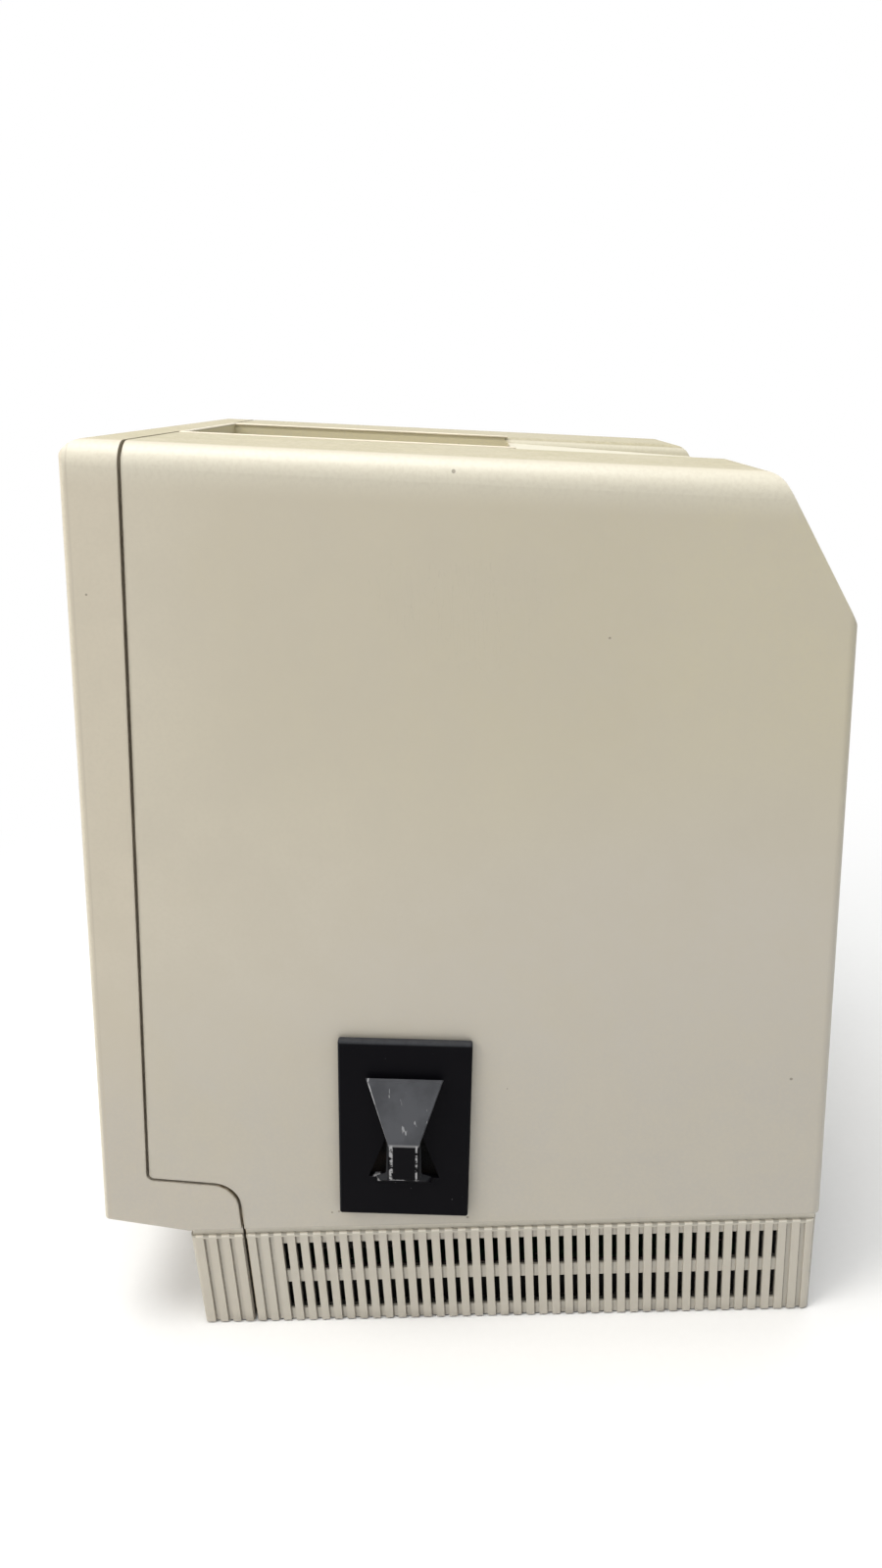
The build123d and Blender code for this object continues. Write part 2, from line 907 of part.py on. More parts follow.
def tube_form(thinner):
    """Outer form of the glass, every surface moved in by an amount."""
    with BuildPart() as form:
        with BuildSketch(front_plane.offset(-glass_apex)):
            with Locations((0, screen_height)):
                RectangleRounded(glass_width - thinner * 2, glass_height - thinner * 2, glass_radius - thinner)
        extrude(amount=-skirt_depth)
        with Locations(glass_middle):
            Sphere(glass_crown - thinner, mode=Mode.INTERSECT)
        with BuildSketch(front_plane.offset(-skirt_end)):
            with Locations((0, screen_height)):
                RectangleRounded(glass_width - thinner * 2, glass_height - thinner * 2, glass_radius - thinner)
        with BuildSketch(front_plane.offset(-funnel_end)):
            with Locations((0, screen_height)):
                funnel_size = (funnel_radius - thinner) * 2
                RectangleRounded(funnel_size, funnel_size, funnel_radius - thinner - gap)
        loft()
        with BuildSketch(Plane(origin=tube_point(0), x_dir=(1, 0, 0), z_dir=top_profile.y_dir)):
            with BuildLine():
                Polyline(
                    (0, funnel_end - gap),
                    (funnel_radius - thinner, funnel_end - gap),
                    (neck_radius - thinner, cone_end),
                    (neck_radius - thinner, neck_end - thinner),
                    (0, neck_end - thinner),
                    close=True,
                )
            make_face()
        revolve(axis=Axis(tube_point(0), front_plane.z_dir))
    return form.part


with BuildPart() as picture_tube:
    add(tube_form(0))
    add(tube_form(glass_thickness), mode=Mode.SUBTRACT)

# Steel band round the tube's edge, with four ears on the bezel's posts
band_start = post_end + bezel_wall / 2 + gap
with BuildPart() as rim_band:
    inner = glass_radius + gap
    with BuildSketch(front_plane.offset(-band_start)):
        with Locations((0, screen_height)):
            band_width = glass_width + (gap + band_thickness) * 2
            band_height = glass_height + (gap + band_thickness) * 2
            RectangleRounded(band_width, band_height, inner + band_thickness)
    extrude(amount=-band_depth)
    with BuildSketch(front_plane.offset(-band_start)):
        for up in (-post_up, post_up):
            with Locations((-post_out, screen_height + up), (post_out, screen_height + up)):
                Circle(ear_radius)
    extrude(amount=-band_thickness)
    with BuildSketch(front_plane.offset(-band_start + overrun)):
        with Locations((0, screen_height)):
            RectangleRounded(glass_width + gap * 2, glass_height + gap * 2, inner)
        for up in (-post_up, post_up):
            with Locations((-post_out, screen_height + up), (post_out, screen_height + up)):
                Circle(tube_screw_radius + shank_gap)
    extrude(amount=-band_depth - overrun * 2, mode=Mode.SUBTRACT)

with BuildPart() as tube_screws:
    for x in (-post_out, post_out):
        for up in (-post_up, post_up):
            seat = tube_point(band_start + band_thickness, up) + Vector(x, 0, 0)
            rod(tube_screw_radius, seat, front_plane.z_dir, tube_screw_length - bezel_wall / 2)
            rod(tube_screw_head_radius, seat, -front_plane.z_dir, tube_screw_head)

# Deflection yoke round the cone and the start of the neck
cone_slope = (funnel_radius - neck_radius) / cone_depth
yoke_start = funnel_end + cone_clearance
yoke_end = yoke_start + yoke_length
tube_section = Plane(origin=tube_point(0), x_dir=(1, 0, 0), z_dir=top_profile.y_dir)
tube_axis = Axis(tube_point(0), front_plane.z_dir)
with BuildPart() as deflection_yoke:
    with BuildSketch(tube_section):
        with BuildLine():
            Polyline(
                (funnel_radius - cone_slope * cone_clearance + gap * 2, yoke_start),
                (yoke_front_radius, yoke_start),
                (yoke_front_radius, yoke_start + yoke_rim / 2),
                (yoke_front_radius - yoke_rim, yoke_start + yoke_rim),
                (yoke_rear_radius, yoke_end - yoke_rim),
                (yoke_rear_radius + yoke_rim / 2, yoke_end - yoke_rim),
                (yoke_rear_radius + yoke_rim / 2, yoke_end),
                (neck_radius + gap, yoke_end),
                (neck_radius + gap, cone_end),
                close=True,
            )
        make_face()
    revolve(axis=tube_axis)

# Circuit board and socket at the end of the neck
board_start = neck_end - socket_length + gap
with BuildPart() as neck_board:
    with BuildSketch(front_plane.offset(-board_start)):
        with Locations((0, screen_height)):
            RectangleRounded(neck_board_size, neck_board_size, fan_corner)
    extrude(amount=-board_thickness)
    with BuildSketch(front_plane.offset(-board_start - board_thickness)):
        with Locations((0, screen_height)):
            Circle(socket_radius + neck_radius / 2)
    extrude(amount=-socket_length)
    with BuildSketch(front_plane.offset(-board_start + overrun)):
        with Locations((0, screen_height)):
            Circle(neck_radius + gap)
    extrude(amount=-socket_length - overrun, mode=Mode.SUBTRACT)

# Rubber cup on the funnel
funnel_fall = (glass_height / 2 - funnel_radius) / funnel_depth
cup_up = glass_height / 2 - (cup_depth - skirt_end) * funnel_fall
with BuildPart() as anode_cup:
    with BuildSketch(Plane(origin=tube_point(cup_depth, cup_up - cup_radius), z_dir=top_profile.y_dir)):
        Circle(cup_radius)
    extrude(amount=cup_radius + cup_height, taper=cup_slope)
    add(tube_form(0), mode=Mode.SUBTRACT)

# Flyback transformer: moulded block with its ferrite core
flyback_x = board_face_x + flyback_width / 2
with BuildPart() as flyback:
    slab(
        board_face_x,
        board_face_x + flyback_width,
        flyback_y - flyback_length / 2,
        flyback_y + flyback_length / 2,
        flyback_z - flyback_height / 2,
        flyback_z + flyback_height / 2,
    )
    fillet(flyback.faces().sort_by(Axis.X)[-1].edges(), flyback_round)
    slab(
        board_face_x,
        board_face_x + flyback_core,
        flyback_y - flyback_length / 2 - flyback_core,
        flyback_y + flyback_length / 2 + flyback_core,
        flyback_z - flyback_core,
        flyback_z + flyback_core,
    )

# Lead from the cup to the transformer
lead_start = tube_point(cup_depth, cup_up + cup_height)
lead_top = lead_start + top_profile.y_dir * lead_rise
lead_end_z = flyback_z + flyback_height / 2
with BuildPart() as anode_lead:
    with BuildLine() as lead_path:
        FilletPolyline(
            lead_start,
            lead_top,
            (flyback_x, flyback_y, lead_end_z + lead_rise * 2),
            (flyback_x, flyback_y, lead_end_z),
            radius=lead_rise * lead_bend_share,
        )
    with BuildSketch(Plane(origin=lead_start, z_dir=top_profile.y_dir)):
        Circle(lead_radius)
    sweep(path=lead_path.line)

# Chassis: folded sheet deck with side flanges, board ledges and one tall upright
with BuildPart() as chassis:
    slab(-chassis_half, chassis_half, chassis_front, chassis_rear, deck_low, deck_top)
    for side in (-1, 1):
        inner = side * (chassis_half - sheet)
        outer = side * chassis_half
        slab(min(inner, outer), max(inner, outer), chassis_front, chassis_rear, floor_top, deck_low)
        ledge = side * (chassis_half - rail_width)
        slab(min(ledge, outer), max(ledge, outer), chassis_front, chassis_rear, rail_height - sheet, rail_height)
        tab_low = side * rear_screw_x - chassis_tab / 2
        slab(tab_low, tab_low + chassis_tab, chassis_rear, rear_tab_y, deck_low, deck_top)
        tab_top = rear_screw_z + chassis_tab / 2
        slab(tab_low, tab_low + chassis_tab, rear_tab_y - sheet, rear_tab_y, deck_low, tab_top)
    slab(-chassis_half, -chassis_half + sheet, upright_front, upright_rear, deck_low, upright_height)
    flange_front = chassis_front + flange_window_margin
    flange_rear = chassis_rear - flange_window_margin
    for z_low, z_high in ((flange_window_low, flange_window_high), (upright_window_low, upright_window_high)):
        slab(
            -half_width,
            half_width if z_low == flange_window_low else 0,
            flange_front,
            flange_rear,
            z_low,
            z_high,
            Mode.SUBTRACT,
        )
    for x, y in ((floppy_ribbon_x, floppy_ribbon_y), (drive_ribbon_x, drive_ribbon_y)):
        hole_half = ribbon_width / 2 + gap * 2
        slab(
            x - hole_half,
            x + hole_half,
            y - deck_hole_depth / 2,
            y + deck_hole_depth / 2,
            deck_low,
            deck_top,
            Mode.SUBTRACT,
        )
    rod(harness_hole, (harness_x, harness_y, deck_top), (0, 0, -1), sheet, Mode.SUBTRACT)
    for x in (-rear_screw_x, rear_screw_x):
        rod(shank_radius + shank_gap, (x, rear_tab_y, rear_screw_z), (0, -1, 0), sheet, Mode.SUBTRACT)

# Analog board on its spacers, with what it carries
analog_top = upright_height - spacer_margin / 2
analog_front = upright_front + gap
analog_rear = upright_rear - gap
with BuildPart() as board_spacers:
    for y in (analog_front + spacer_margin, analog_rear - spacer_margin):
        for z in (analog_low + spacer_margin, analog_top - spacer_margin):
            rod(spacer_radius, (-chassis_half + sheet, y, z), (1, 0, 0), spacer_height)

with BuildPart() as analog_board:
    slab(board_face_x - board_thickness, board_face_x, analog_front, analog_rear, analog_low, analog_top)

with BuildPart() as capacitors:
    for number in range(capacitor_count):
        y = capacitor_y + number * capacitor_pitch
        rod(capacitor_radius, (board_face_x, y, capacitor_z), (1, 0, 0), capacitor_length)
    fillet(capacitors.faces().filter_by(Axis.X).group_by(Axis.X)[-1].edges(), gap * 3)

with BuildPart() as heat_sink:
    fin_front = sink_y - sink_length / 2
    slab(
        board_face_x,
        board_face_x + sink_base,
        fin_front,
        fin_front + sink_length,
        sink_z - sink_height / 2,
        sink_z + sink_height / 2,
    )
    for number in range(sink_fins):
        y = fin_front + (sink_length - (sink_fins - 1) * sink_fin_pitch) / 2 + number * sink_fin_pitch
        slab(
            board_face_x,
            board_face_x + sink_base + sink_fin,
            y - sink_fin_thickness / 2,
            y + sink_fin_thickness / 2,
            sink_z - sink_height / 2,
            sink_z + sink_height / 2,
        )

# Power supply in its vented tin
supply_x = board_face_x + gap
supply_top = deck_top + supply_height
with BuildPart() as power_supply:
    slab(supply_x, supply_x + supply_width, supply_front, supply_rear, deck_top, supply_top)
    fillet(power_supply.edges().filter_by(Axis.Z), supply_edge)
    slab(
        supply_x + sheet,
        supply_x + supply_width - sheet,
        supply_front + sheet,
        supply_rear - sheet,
        deck_top + sheet,
        supply_top - sheet,
        Mode.SUBTRACT,
    )
    with BuildSketch(Plane.YZ.offset(supply_x + supply_width)):
        with Locations(((supply_front + supply_rear) / 2, (deck_top + supply_top) / 2)):
            with GridLocations(supply_vent_pitch, 0, supply_vents, 1):
                SlotOverall(supply_vent_length, supply_vent_width, rotation=90)
    extrude(amount=-supply_vent_width, mode=Mode.SUBTRACT)

# Power inlet: a socket with three blades, let into the rear wall
inlet_back = rear_y - inlet_depth - inlet_wall
with BuildPart() as power_inlet:
    with BuildSketch(Plane.XZ.offset(-rear_y)):
        with Locations((inlet_x, inlet_z)):
            RectangleRounded(inlet_width, inlet_height, inlet_wall / 2)
    extrude(amount=inlet_depth + inlet_wall)
    with BuildSketch(Plane.XZ.offset(-rear_y)):
        with BuildLine():
            left = inlet_x - inlet_width / 2 + inlet_wall
            right = inlet_x + inlet_width / 2 - inlet_wall
            low = inlet_z - inlet_height / 2 + inlet_wall
            high = inlet_z + inlet_height / 2 - inlet_wall
            Polyline(
                (left, low),
                (right, low),
                (right, high - inlet_corner),
                (right - inlet_corner, high),
                (left + inlet_corner, high),
                (left, high - inlet_corner),
                close=True,
            )
        make_face()
    extrude(amount=inlet_depth, mode=Mode.SUBTRACT)
    for x, z in ((-blade_spread, -blade_drop), (0, blade_drop), (blade_spread, -blade_drop)):
        slab(
            inlet_x + x - blade_width / 2,
            inlet_x + x + blade_width / 2,
            inlet_back + inlet_wall,
            rear_y - inlet_wall,
            inlet_z + z - blade_height / 2,
            inlet_z + z + blade_height / 2,
        )

# Power switch: a frame in the rear wall and a rocker on two pins, shown off
rocker_half = rocker_width / 2
pivot = Vector(inlet_x, rear_y - rocker_pivot_depth, rocker_z)
with BuildPart() as rocker_frame:
    with BuildSketch(Plane.XZ.offset(-rear_y)):
        with Locations((inlet_x, rocker_z)):
            RectangleRounded(rocker_width + rocker_wall * 2, rocker_height + rocker_wall * 2, rocker_wall / 2)
    extrude(amount=rocker_well + rocker_wall)
    slab(
        inlet_x - rocker_half,
        inlet_x + rocker_half,
        rear_y - rocker_well,
        rear_y,
        rocker_z - rocker_height / 2,
        rocker_z + rocker_height / 2,
        Mode.SUBTRACT,
    )
    bore_length = (rocker_half + rocker_wall) * 2
    rod(
        rocker_pin_radius + rocker_play,
        pivot - Vector(bore_length / 2, 0, 0),
        (1, 0, 0),
        bore_length,
        Mode.SUBTRACT,
    )

tilt = radians(rocker_tilt)
with BuildPart() as power_rocker:
    rocker_plane = Plane(
        origin=pivot,
        x_dir=(0, cos(tilt), -sin(tilt)),
        z_dir=(1, 0, 0),
    )
    with BuildSketch(rocker_plane):
        with BuildLine():
            arm = rocker_height / 2 - rocker_end_gap
            face = rocker_pivot_depth - rocker_recess
            Polyline(
                (face - rocker_dish, 0),
                (face, arm),
                (face - rocker_thickness, arm),
                (-rocker_pin_radius * 2, 0),
                (face - rocker_thickness, -arm),
                (face, -arm),
                close=True,
            )
        make_face()
    extrude(amount=rocker_half - gap, both=True)
    pin_length = rocker_half + rocker_wall - gap
    rod(rocker_pin_radius, pivot - Vector(pin_length, 0, 0), (1, 0, 0), pin_length * 2)

# Fan on the supply: square frame with a hub on struts, and the rotor
fan_rear = fan_front + fan_depth
hub_face = fan_rear - fan_strut_depth
with BuildPart() as fan_frame:
    with BuildSketch(Plane.XZ.offset(-fan_rear)):
        with Locations((fan_x, fan_z)):
            RectangleRounded(fan_size, fan_size, fan_corner)
            Circle(fan_bore, mode=Mode.SUBTRACT)
    extrude(amount=fan_depth)
    with BuildSketch(Plane.XZ.offset(-fan_rear)):
        with Locations((fan_x, fan_z)):
            Circle(fan_hub_radius)
            Rectangle(fan_strut, fan_bore * 2 + fan_strut)
            Rectangle(fan_bore * 2 + fan_strut, fan_strut)
    extrude(amount=fan_strut_depth)
    rod(fan_pin_radius, (fan_x, hub_face, fan_z), (0, -1, 0), fan_hub_length - fan_strut)

with BuildPart() as fan_rotor:
    hub_middle = hub_face - gap - fan_hub_length / 2
    with Locations(Plane(origin=(fan_x, hub_middle, fan_z), z_dir=(0, -1, 0))):
        blade_reach = fan_bore - fan_tip_gap
        with PolarLocations(blade_reach / 2, fan_blade_count):
            Box(blade_reach, fan_blade_thickness, fan_hub_length - gap, rotation=(fan_blade_pitch, 0, 0))
        Cylinder(blade_reach, fan_hub_length, mode=Mode.INTERSECT)
        Cylinder(fan_hub_radius, fan_hub_length)
        with Locations((0, 0, -fan_strut)):
            Cylinder(fan_pin_radius + fan_play, fan_hub_length, mode=Mode.SUBTRACT)

# Bracket over the floppy drive, which carries the hard drive
side_gap = drive_width / 2 + drive_gap
with BuildPart() as drive_bracket:
    for side in (-1, 1):
        inner = bay_x + side * side_gap
        outer = bay_x + side * (side_gap + sheet)
        with BuildSketch(Plane.YZ.offset(min(inner, outer))):
            with BuildLine():
                Polyline(
                    (chassis_front + bracket_foot, deck_top),
                    (hard_drive_front + hard_drive_length, deck_top),
                    (hard_drive_front + hard_drive_length, bracket_rear_height),
                    (hard_drive_front, bracket_rear_height),
                    (chassis_front + bracket_foot, bracket_front_height),
                    close=True,
                )
            make_face()
        extrude(amount=sheet)
        foot = bay_x + side * (side_gap - bracket_foot)
        foot_low, foot_high = min(foot, outer), max(foot, outer)
        foot_rear = hard_drive_front + hard_drive_length
        slab(foot_low, foot_high, chassis_front + bracket_foot, foot_rear, deck_top, deck_top + sheet)
    shelf_half = side_gap + sheet
    shelf_rear = hard_drive_front + hard_drive_length
    slab(bay_x - shelf_half, bay_x + shelf_half, hard_drive_front, shelf_rear, shelf_low, shelf_low + sheet)
    first_hole = hard_drive_front + shelf_hole_margin
    last_hole = shelf_rear - shelf_hole_margin - shelf_hole_length
    for y in (first_hole, last_hole):
        slab(
            bay_x - side_gap + bracket_foot * 2,
            bay_x + side_gap - bracket_foot * 2,
            y,
            y + shelf_hole_length,
            shelf_low,
            shelf_low + sheet,
            Mode.SUBTRACT,
        )

# Hard drive: cast body with a stepped lid and its circuit board underneath
shelf_top = shelf_low + sheet
drive_low_x = bay_x - drive_width / 2
drive_high_x = bay_x + drive_width / 2
hard_drive_rear = hard_drive_front + hard_drive_length
recess_top = shelf_top + board_thickness * 2
with BuildPart() as hard_drive:
    slab(
        drive_low_x,
        drive_high_x,
        hard_drive_front,
        hard_drive_rear,
        shelf_top,
        shelf_top + hard_drive_height - hard_drive_lid,
    )
    fillet(hard_drive.edges().filter_by(Axis.Z), hard_drive_edge)
    with BuildSketch(Plane.XY.offset(shelf_top + hard_drive_height - hard_drive_lid)):
        with Locations((bay_x, (hard_drive_front + hard_drive_rear) / 2)):
            lid_width = drive_width - hard_drive_step
            lid_length = hard_drive_length - hard_drive_step
            RectangleRounded(lid_width, lid_length, hard_drive_step)
    extrude(amount=hard_drive_lid)
    slab(
        drive_low_x + hard_board_margin,
        drive_high_x - hard_board_margin,
        hard_drive_front + hard_board_margin,
        hard_drive_rear - hard_board_margin,
        shelf_top,
        recess_top,
        Mode.SUBTRACT,
    )

with BuildPart() as hard_drive_board:
    slab(
        drive_low_x + hard_board_margin + gap,
        drive_high_x - hard_board_margin - gap,
        hard_drive_front + hard_board_margin + gap,
        hard_drive_rear - hard_board_margin - gap,
        recess_top - board_thickness,
        recess_top,
    )

# Floppy drive: open tin with side guides for the disk, the spindle pin and the rods of its head carriage
floppy_rear = floppy_front + floppy_length
floppy_top = floppy_low + floppy_height
floor_z = floppy_low + floppy_sheet
carriage_rear = carriage_front + carriage_length
block_front = carriage_front - head_travel - gap - guide_block
with BuildPart() as floppy_drive:
    slab(drive_low_x, drive_high_x, floppy_front, floppy_rear, floppy_low, floor_z)
    for low in (drive_low_x, drive_high_x - floppy_sheet):
        slab(low, low + floppy_sheet, floppy_front, floppy_rear, floppy_low, floppy_top)
    slab(drive_low_x, drive_high_x, floppy_rear - floppy_sheet, floppy_rear, floppy_low, floppy_top)
    slab(drive_low_x, drive_high_x, floppy_front, lid_end_y, floppy_top - floppy_sheet / 2, floppy_top)
    for low in (drive_low_x, drive_high_x - disk_guide):
        for z in (disk_guide_low, disk_guide_high):
            slab(low, low + disk_guide, floppy_front, lid_end_y, z, z + floppy_sheet)
    rod(spindle_pin_radius, (bay_x, hub_y, floor_z), (0, 0, 1), spindle_pin_length)
    block_end = screw_x + screw_eye
    for y in (block_front, guide_rear - guide_block):
        end = block_end if y == block_front else bay_x + guide_spread + guide_block
        slab(bay_x - guide_spread - guide_block, end, y, y + guide_block, floor_z, guide_block_top)
    for x in (bay_x - guide_spread, bay_x + guide_spread):
        rod(guide_radius, (x, block_front, guide_z), (0, 1, 0), guide_rear - block_front)
    rod(
        screw_radius + screw_play,
        (screw_x, block_front + guide_block, guide_z),
        (0, -1, 0),
        guide_block,
        Mode.SUBTRACT,
    )

with BuildPart() as floppy_spindle:
    rod(rotor_radius, (bay_x, hub_y, rotor_low), (0, 0, 1), rotor_thickness)
    rod(hub_radius, (bay_x, hub_y, rotor_low), (0, 0, 1), hub_top - rotor_low)
    rod(
        spindle_pin_radius + spindle_play,
        (bay_x, hub_y, rotor_low),
        (0, 0, 1),
        floor_z + spindle_pin_length + gap - rotor_low,
        Mode.SUBTRACT,
    )

with BuildPart() as head_carriage:
    slab(
        bay_x - carriage_half,
        bay_x + carriage_half,
        carriage_front,
        carriage_rear,
        carriage_low,
        carriage_high,
    )
    for low in (lower_arm_top - head_arm, upper_arm_low):
        slab(
            bay_x - head_arm_half,
            bay_x + head_arm_half,
            carriage_front - head_reach,
            carriage_front,
            low,
            low + head_arm,
        )
    lug_middle = (carriage_front + carriage_rear) / 2
    slab(
        bay_x + carriage_half,
        screw_x + screw_eye,
        lug_middle - guide_block,
        lug_middle + guide_block,
        guide_z - screw_eye,
        guide_z + screw_eye,
    )
    for x in (bay_x - guide_spread, bay_x + guide_spread):
        rod(guide_radius + guide_play, (x, carriage_front, guide_z), (0, 1, 0), carriage_length, Mode.SUBTRACT)
    rod(
        screw_radius + gap,
        (screw_x, lug_middle - guide_block, guide_z),
        (0, 1, 0),
        guide_block * 2,
        Mode.SUBTRACT,
    )

motor_front = floppy_rear - floppy_sheet - motor_length
with BuildPart() as lead_screw:
    screw_end = motor_front + motor_length / 2
    rod(screw_radius, (screw_x, block_front, guide_z), (0, 1, 0), screw_end - block_front)

with BuildPart() as stepper_motor:
    slab(
        screw_x - motor_size / 2,
        screw_x + motor_size / 2,
        motor_front,
        motor_front + motor_length,
        floor_z,
        floor_z + motor_size,
    )
    rod(
        screw_radius + screw_play,
        (screw_x, motor_front, guide_z),
        (0, 1, 0),
        motor_length / 2 + gap,
        Mode.SUBTRACT,
    )

# Logic board with its chips, memory, battery and headers
with BuildPart() as logic_board:
    slab(-logic_half, logic_half, logic_front, logic_rear, rail_height, board_level)

with BuildPart() as processor:
    slab(
        processor_x - processor_length / 2,
        processor_x + processor_length / 2,
        processor_y - processor_width / 2,
        processor_y + processor_width / 2,
        board_level,
        board_level + chip_height,
    )

with BuildPart() as logic_chips:
    with Locations((chip_field_x, chip_field_y, board_level + chip_height / 2)):
        with GridLocations(chip_pitch_x, chip_pitch_y, chip_columns, chip_rows):
            Box(chip_width, chip_length, chip_height)

with BuildPart() as memory_sockets:
    for number in range(module_count):
        y = module_y + number * module_pitch
        socket_half = module_thickness / 2 + gap / 2 + socket_wall
        slab(
            module_x - module_length / 2 - socket_wall,
            module_x + module_length / 2 + socket_wall,
            y - socket_half,
            y + socket_half,
            board_level,
            board_level + socket_height,
        )
        slab(
            module_x - module_length / 2 - gap,
            module_x + module_length / 2 + gap,
            y - module_thickness / 2 - gap / 2,
            y + module_thickness / 2 + gap / 2,
            board_level + socket_wall,
            board_level + socket_height,
            Mode.SUBTRACT,
        )

with BuildPart() as memory_modules:
    for number in range(module_count):
        y = module_y + number * module_pitch
        slab(
            module_x - module_length / 2,
            module_x + module_length / 2,
            y - module_thickness / 2,
            y + module_thickness / 2,
            board_level + socket_wall,
            board_level + socket_wall + module_height,
        )

battery_axis_z = board_level + battery_saddle + battery_radius
with BuildPart() as battery_holder:
    slab(
        battery_x - battery_length / 2 - battery_saddle,
        battery_x + battery_length / 2 + battery_saddle,
        battery_y - battery_radius - battery_saddle,
        battery_y + battery_radius + battery_saddle,
        board_level,
        battery_axis_z,
    )
    rod(
        battery_radius + gap,
        (battery_x - battery_length / 2 - gap, battery_y, battery_axis_z),
        (1, 0, 0),
        battery_length + gap * 2,
        Mode.SUBTRACT,
    )

with BuildPart() as battery:
    rod(battery_radius, (battery_x - battery_length / 2, battery_y, battery_axis_z), (1, 0, 0), battery_length)

header_top = board_level + header_height
with BuildPart() as board_headers:
    for x, y in ((floppy_ribbon_x, floppy_ribbon_y), (drive_ribbon_x, drive_ribbon_y)):
        slab(
            x - ribbon_width / 2,
            x + ribbon_width / 2,
            y - header_depth / 2,
            y + header_depth / 2,
            board_level,
            header_top,
        )
    slab(
        harness_x - header_depth,
        harness_x + header_depth,
        harness_y - header_depth,
        harness_y + header_depth,
        board_level,
        header_top,
    )


def ribbon(x, start_y, bend_y, top_z):
    """Flat cable: back from a drive, then down to its header."""
    with BuildPart() as cable:
        with BuildSketch(Plane.YZ.offset(x - ribbon_width / 2)):
            with BuildLine():
                bend = ribbon_bend
                thick = ribbon_thickness / 2
                FilletPolyline(
                    (start_y, top_z + thick),
                    (bend_y + thick, top_z + thick),
                    (bend_y + thick, header_top),
                    (bend_y - thick, header_top),
                    (bend_y - thick, top_z - thick),
                    (start_y, top_z - thick),
                    radius=[0, bend + thick, 0, 0, bend - thick, 0],
                    close=True,
                )
            make_face()
        extrude(amount=ribbon_width)
    return cable.part


# Flat cables from the two drives down to the logic board
with BuildPart() as floppy_ribbon:
    add(ribbon(floppy_ribbon_x, floppy_rear, floppy_ribbon_y, floppy_ribbon_z))

with BuildPart() as drive_ribbon:
    add(ribbon(drive_ribbon_x, hard_drive_rear, drive_ribbon_y, drive_ribbon_z))

# Bundled wires from the supply to the logic board
with BuildPart() as power_harness:
    with BuildLine() as harness_path:
        FilletPolyline(
            (harness_x, supply_front, harness_z),
            (harness_x, harness_y, harness_z),
            (harness_x, harness_y, header_top),
            radius=harness_bend,
        )
    with BuildSketch(Plane(origin=(harness_x, supply_front, harness_z), z_dir=(0, -1, 0))):
        Circle(harness_radius)
    sweep(path=harness_path.line)

# Connectors along the rear of the logic board, and the sheet shield round them
port_sizes = (
    (round_port, round_port_height),
    (round_port, round_port_height),
    (middle_port, wide_port_height),
    (wide_port, wide_port_height),
    (round_port, round_port_height),
    (round_port, round_port_height),
    (jack_port, wide_port_height),
)
port_total = sum(width for width, height in port_sizes) + port_space * (len(port_sizes) - 1)


def port_blocks(growth, y_low, y_high):
    """Blocks of the connectors side by side, each grown by an amount."""
    with BuildPart() as blocks:
        x = -port_total / 2
        for width, height in port_sizes:
            slab(
                x - growth,
                x + width + growth,
                y_low,
                y_high,
                board_level - growth,
                board_level + height + growth,
            )
            x += width + port_space
    return blocks.part


with BuildPart() as rear_connectors:
    add(port_blocks(0, connector_face - connector_depth, connector_face - port_proud))
    x = -port_total / 2
    for width, height in port_sizes:
        middle = (x + width / 2, board_level + height / 2)
        with BuildSketch(Plane.XZ.offset(-connector_face)):
            with Locations(middle):
                if width > round_port:
                    RectangleRounded(width - port_space * 2, height - port_space, port_space / 2)
                    with GridLocations(width - port_space, 0, 2, 1):
                        Circle(shank_radius)
                else:
                    Circle(height / 2 - port_proud)
                    Circle(height / 2 - port_proud * 2, mode=Mode.SUBTRACT)
        extrude(amount=port_proud)
        x += width + port_space

with BuildPart() as port_shield:
    slab(
        -port_window_half - wall,
        port_window_half + wall,
        logic_rear + gap / 2,
        logic_rear + gap / 2 + port_shield_sheet,
        rail_height,
        port_shield_high,
    )
    add(port_blocks(gap, logic_rear, logic_rear + overrun), mode=Mode.SUBTRACT)

# Loudspeaker on the back of the bezel
speaker_seat = front_plane.from_local_coords((speaker_x, speaker_height, -bezel_wall))
with BuildPart() as speaker:
    with BuildSketch(Plane(origin=speaker_seat, x_dir=(1, 0, 0), z_dir=-front_plane.z_dir)):
        Circle(speaker_radius)
    extrude(amount=speaker_rim)
    with BuildSketch(Plane(origin=speaker_seat, x_dir=(1, 0, 0), z_dir=-front_plane.z_dir).offset(speaker_rim)):
        Circle(speaker_radius - speaker_rim)
    extrude(amount=speaker_depth / 2 - speaker_rim, taper=speaker_slope)
    with BuildSketch(Plane(origin=speaker_seat, x_dir=(1, 0, 0), z_dir=-front_plane.z_dir)):
        Circle(speaker_magnet_radius)
    extrude(amount=speaker_depth)

# Drive light in the bezel, with a flange behind the wall
light_front = front_plane.from_local_coords((light_x, light_height, 0))
light_seat = front_plane.from_local_coords((light_x, light_height, -bezel_wall))
with BuildPart() as drive_light:
    rod(light_radius, light_front, -front_plane.z_dir, light_length)
    rod(light_flange_radius, light_seat, -front_plane.z_dir, light_length - bezel_wall)

# Brightness wheel under the chin, and the control that it turns
with BuildPart() as brightness_wheel:
    with BuildSketch(Plane.XZ.offset(-wheel_y - wheel_width / 2)):
        with Locations((wheel_x, wheel_z)):
            Circle(wheel_radius - wheel_tooth)
            with PolarLocations(wheel_radius - wheel_tooth, wheel_teeth):
                Circle(wheel_tooth)
            Circle(control_shaft_radius + control_play, mode=Mode.SUBTRACT)
    extrude(amount=wheel_width)

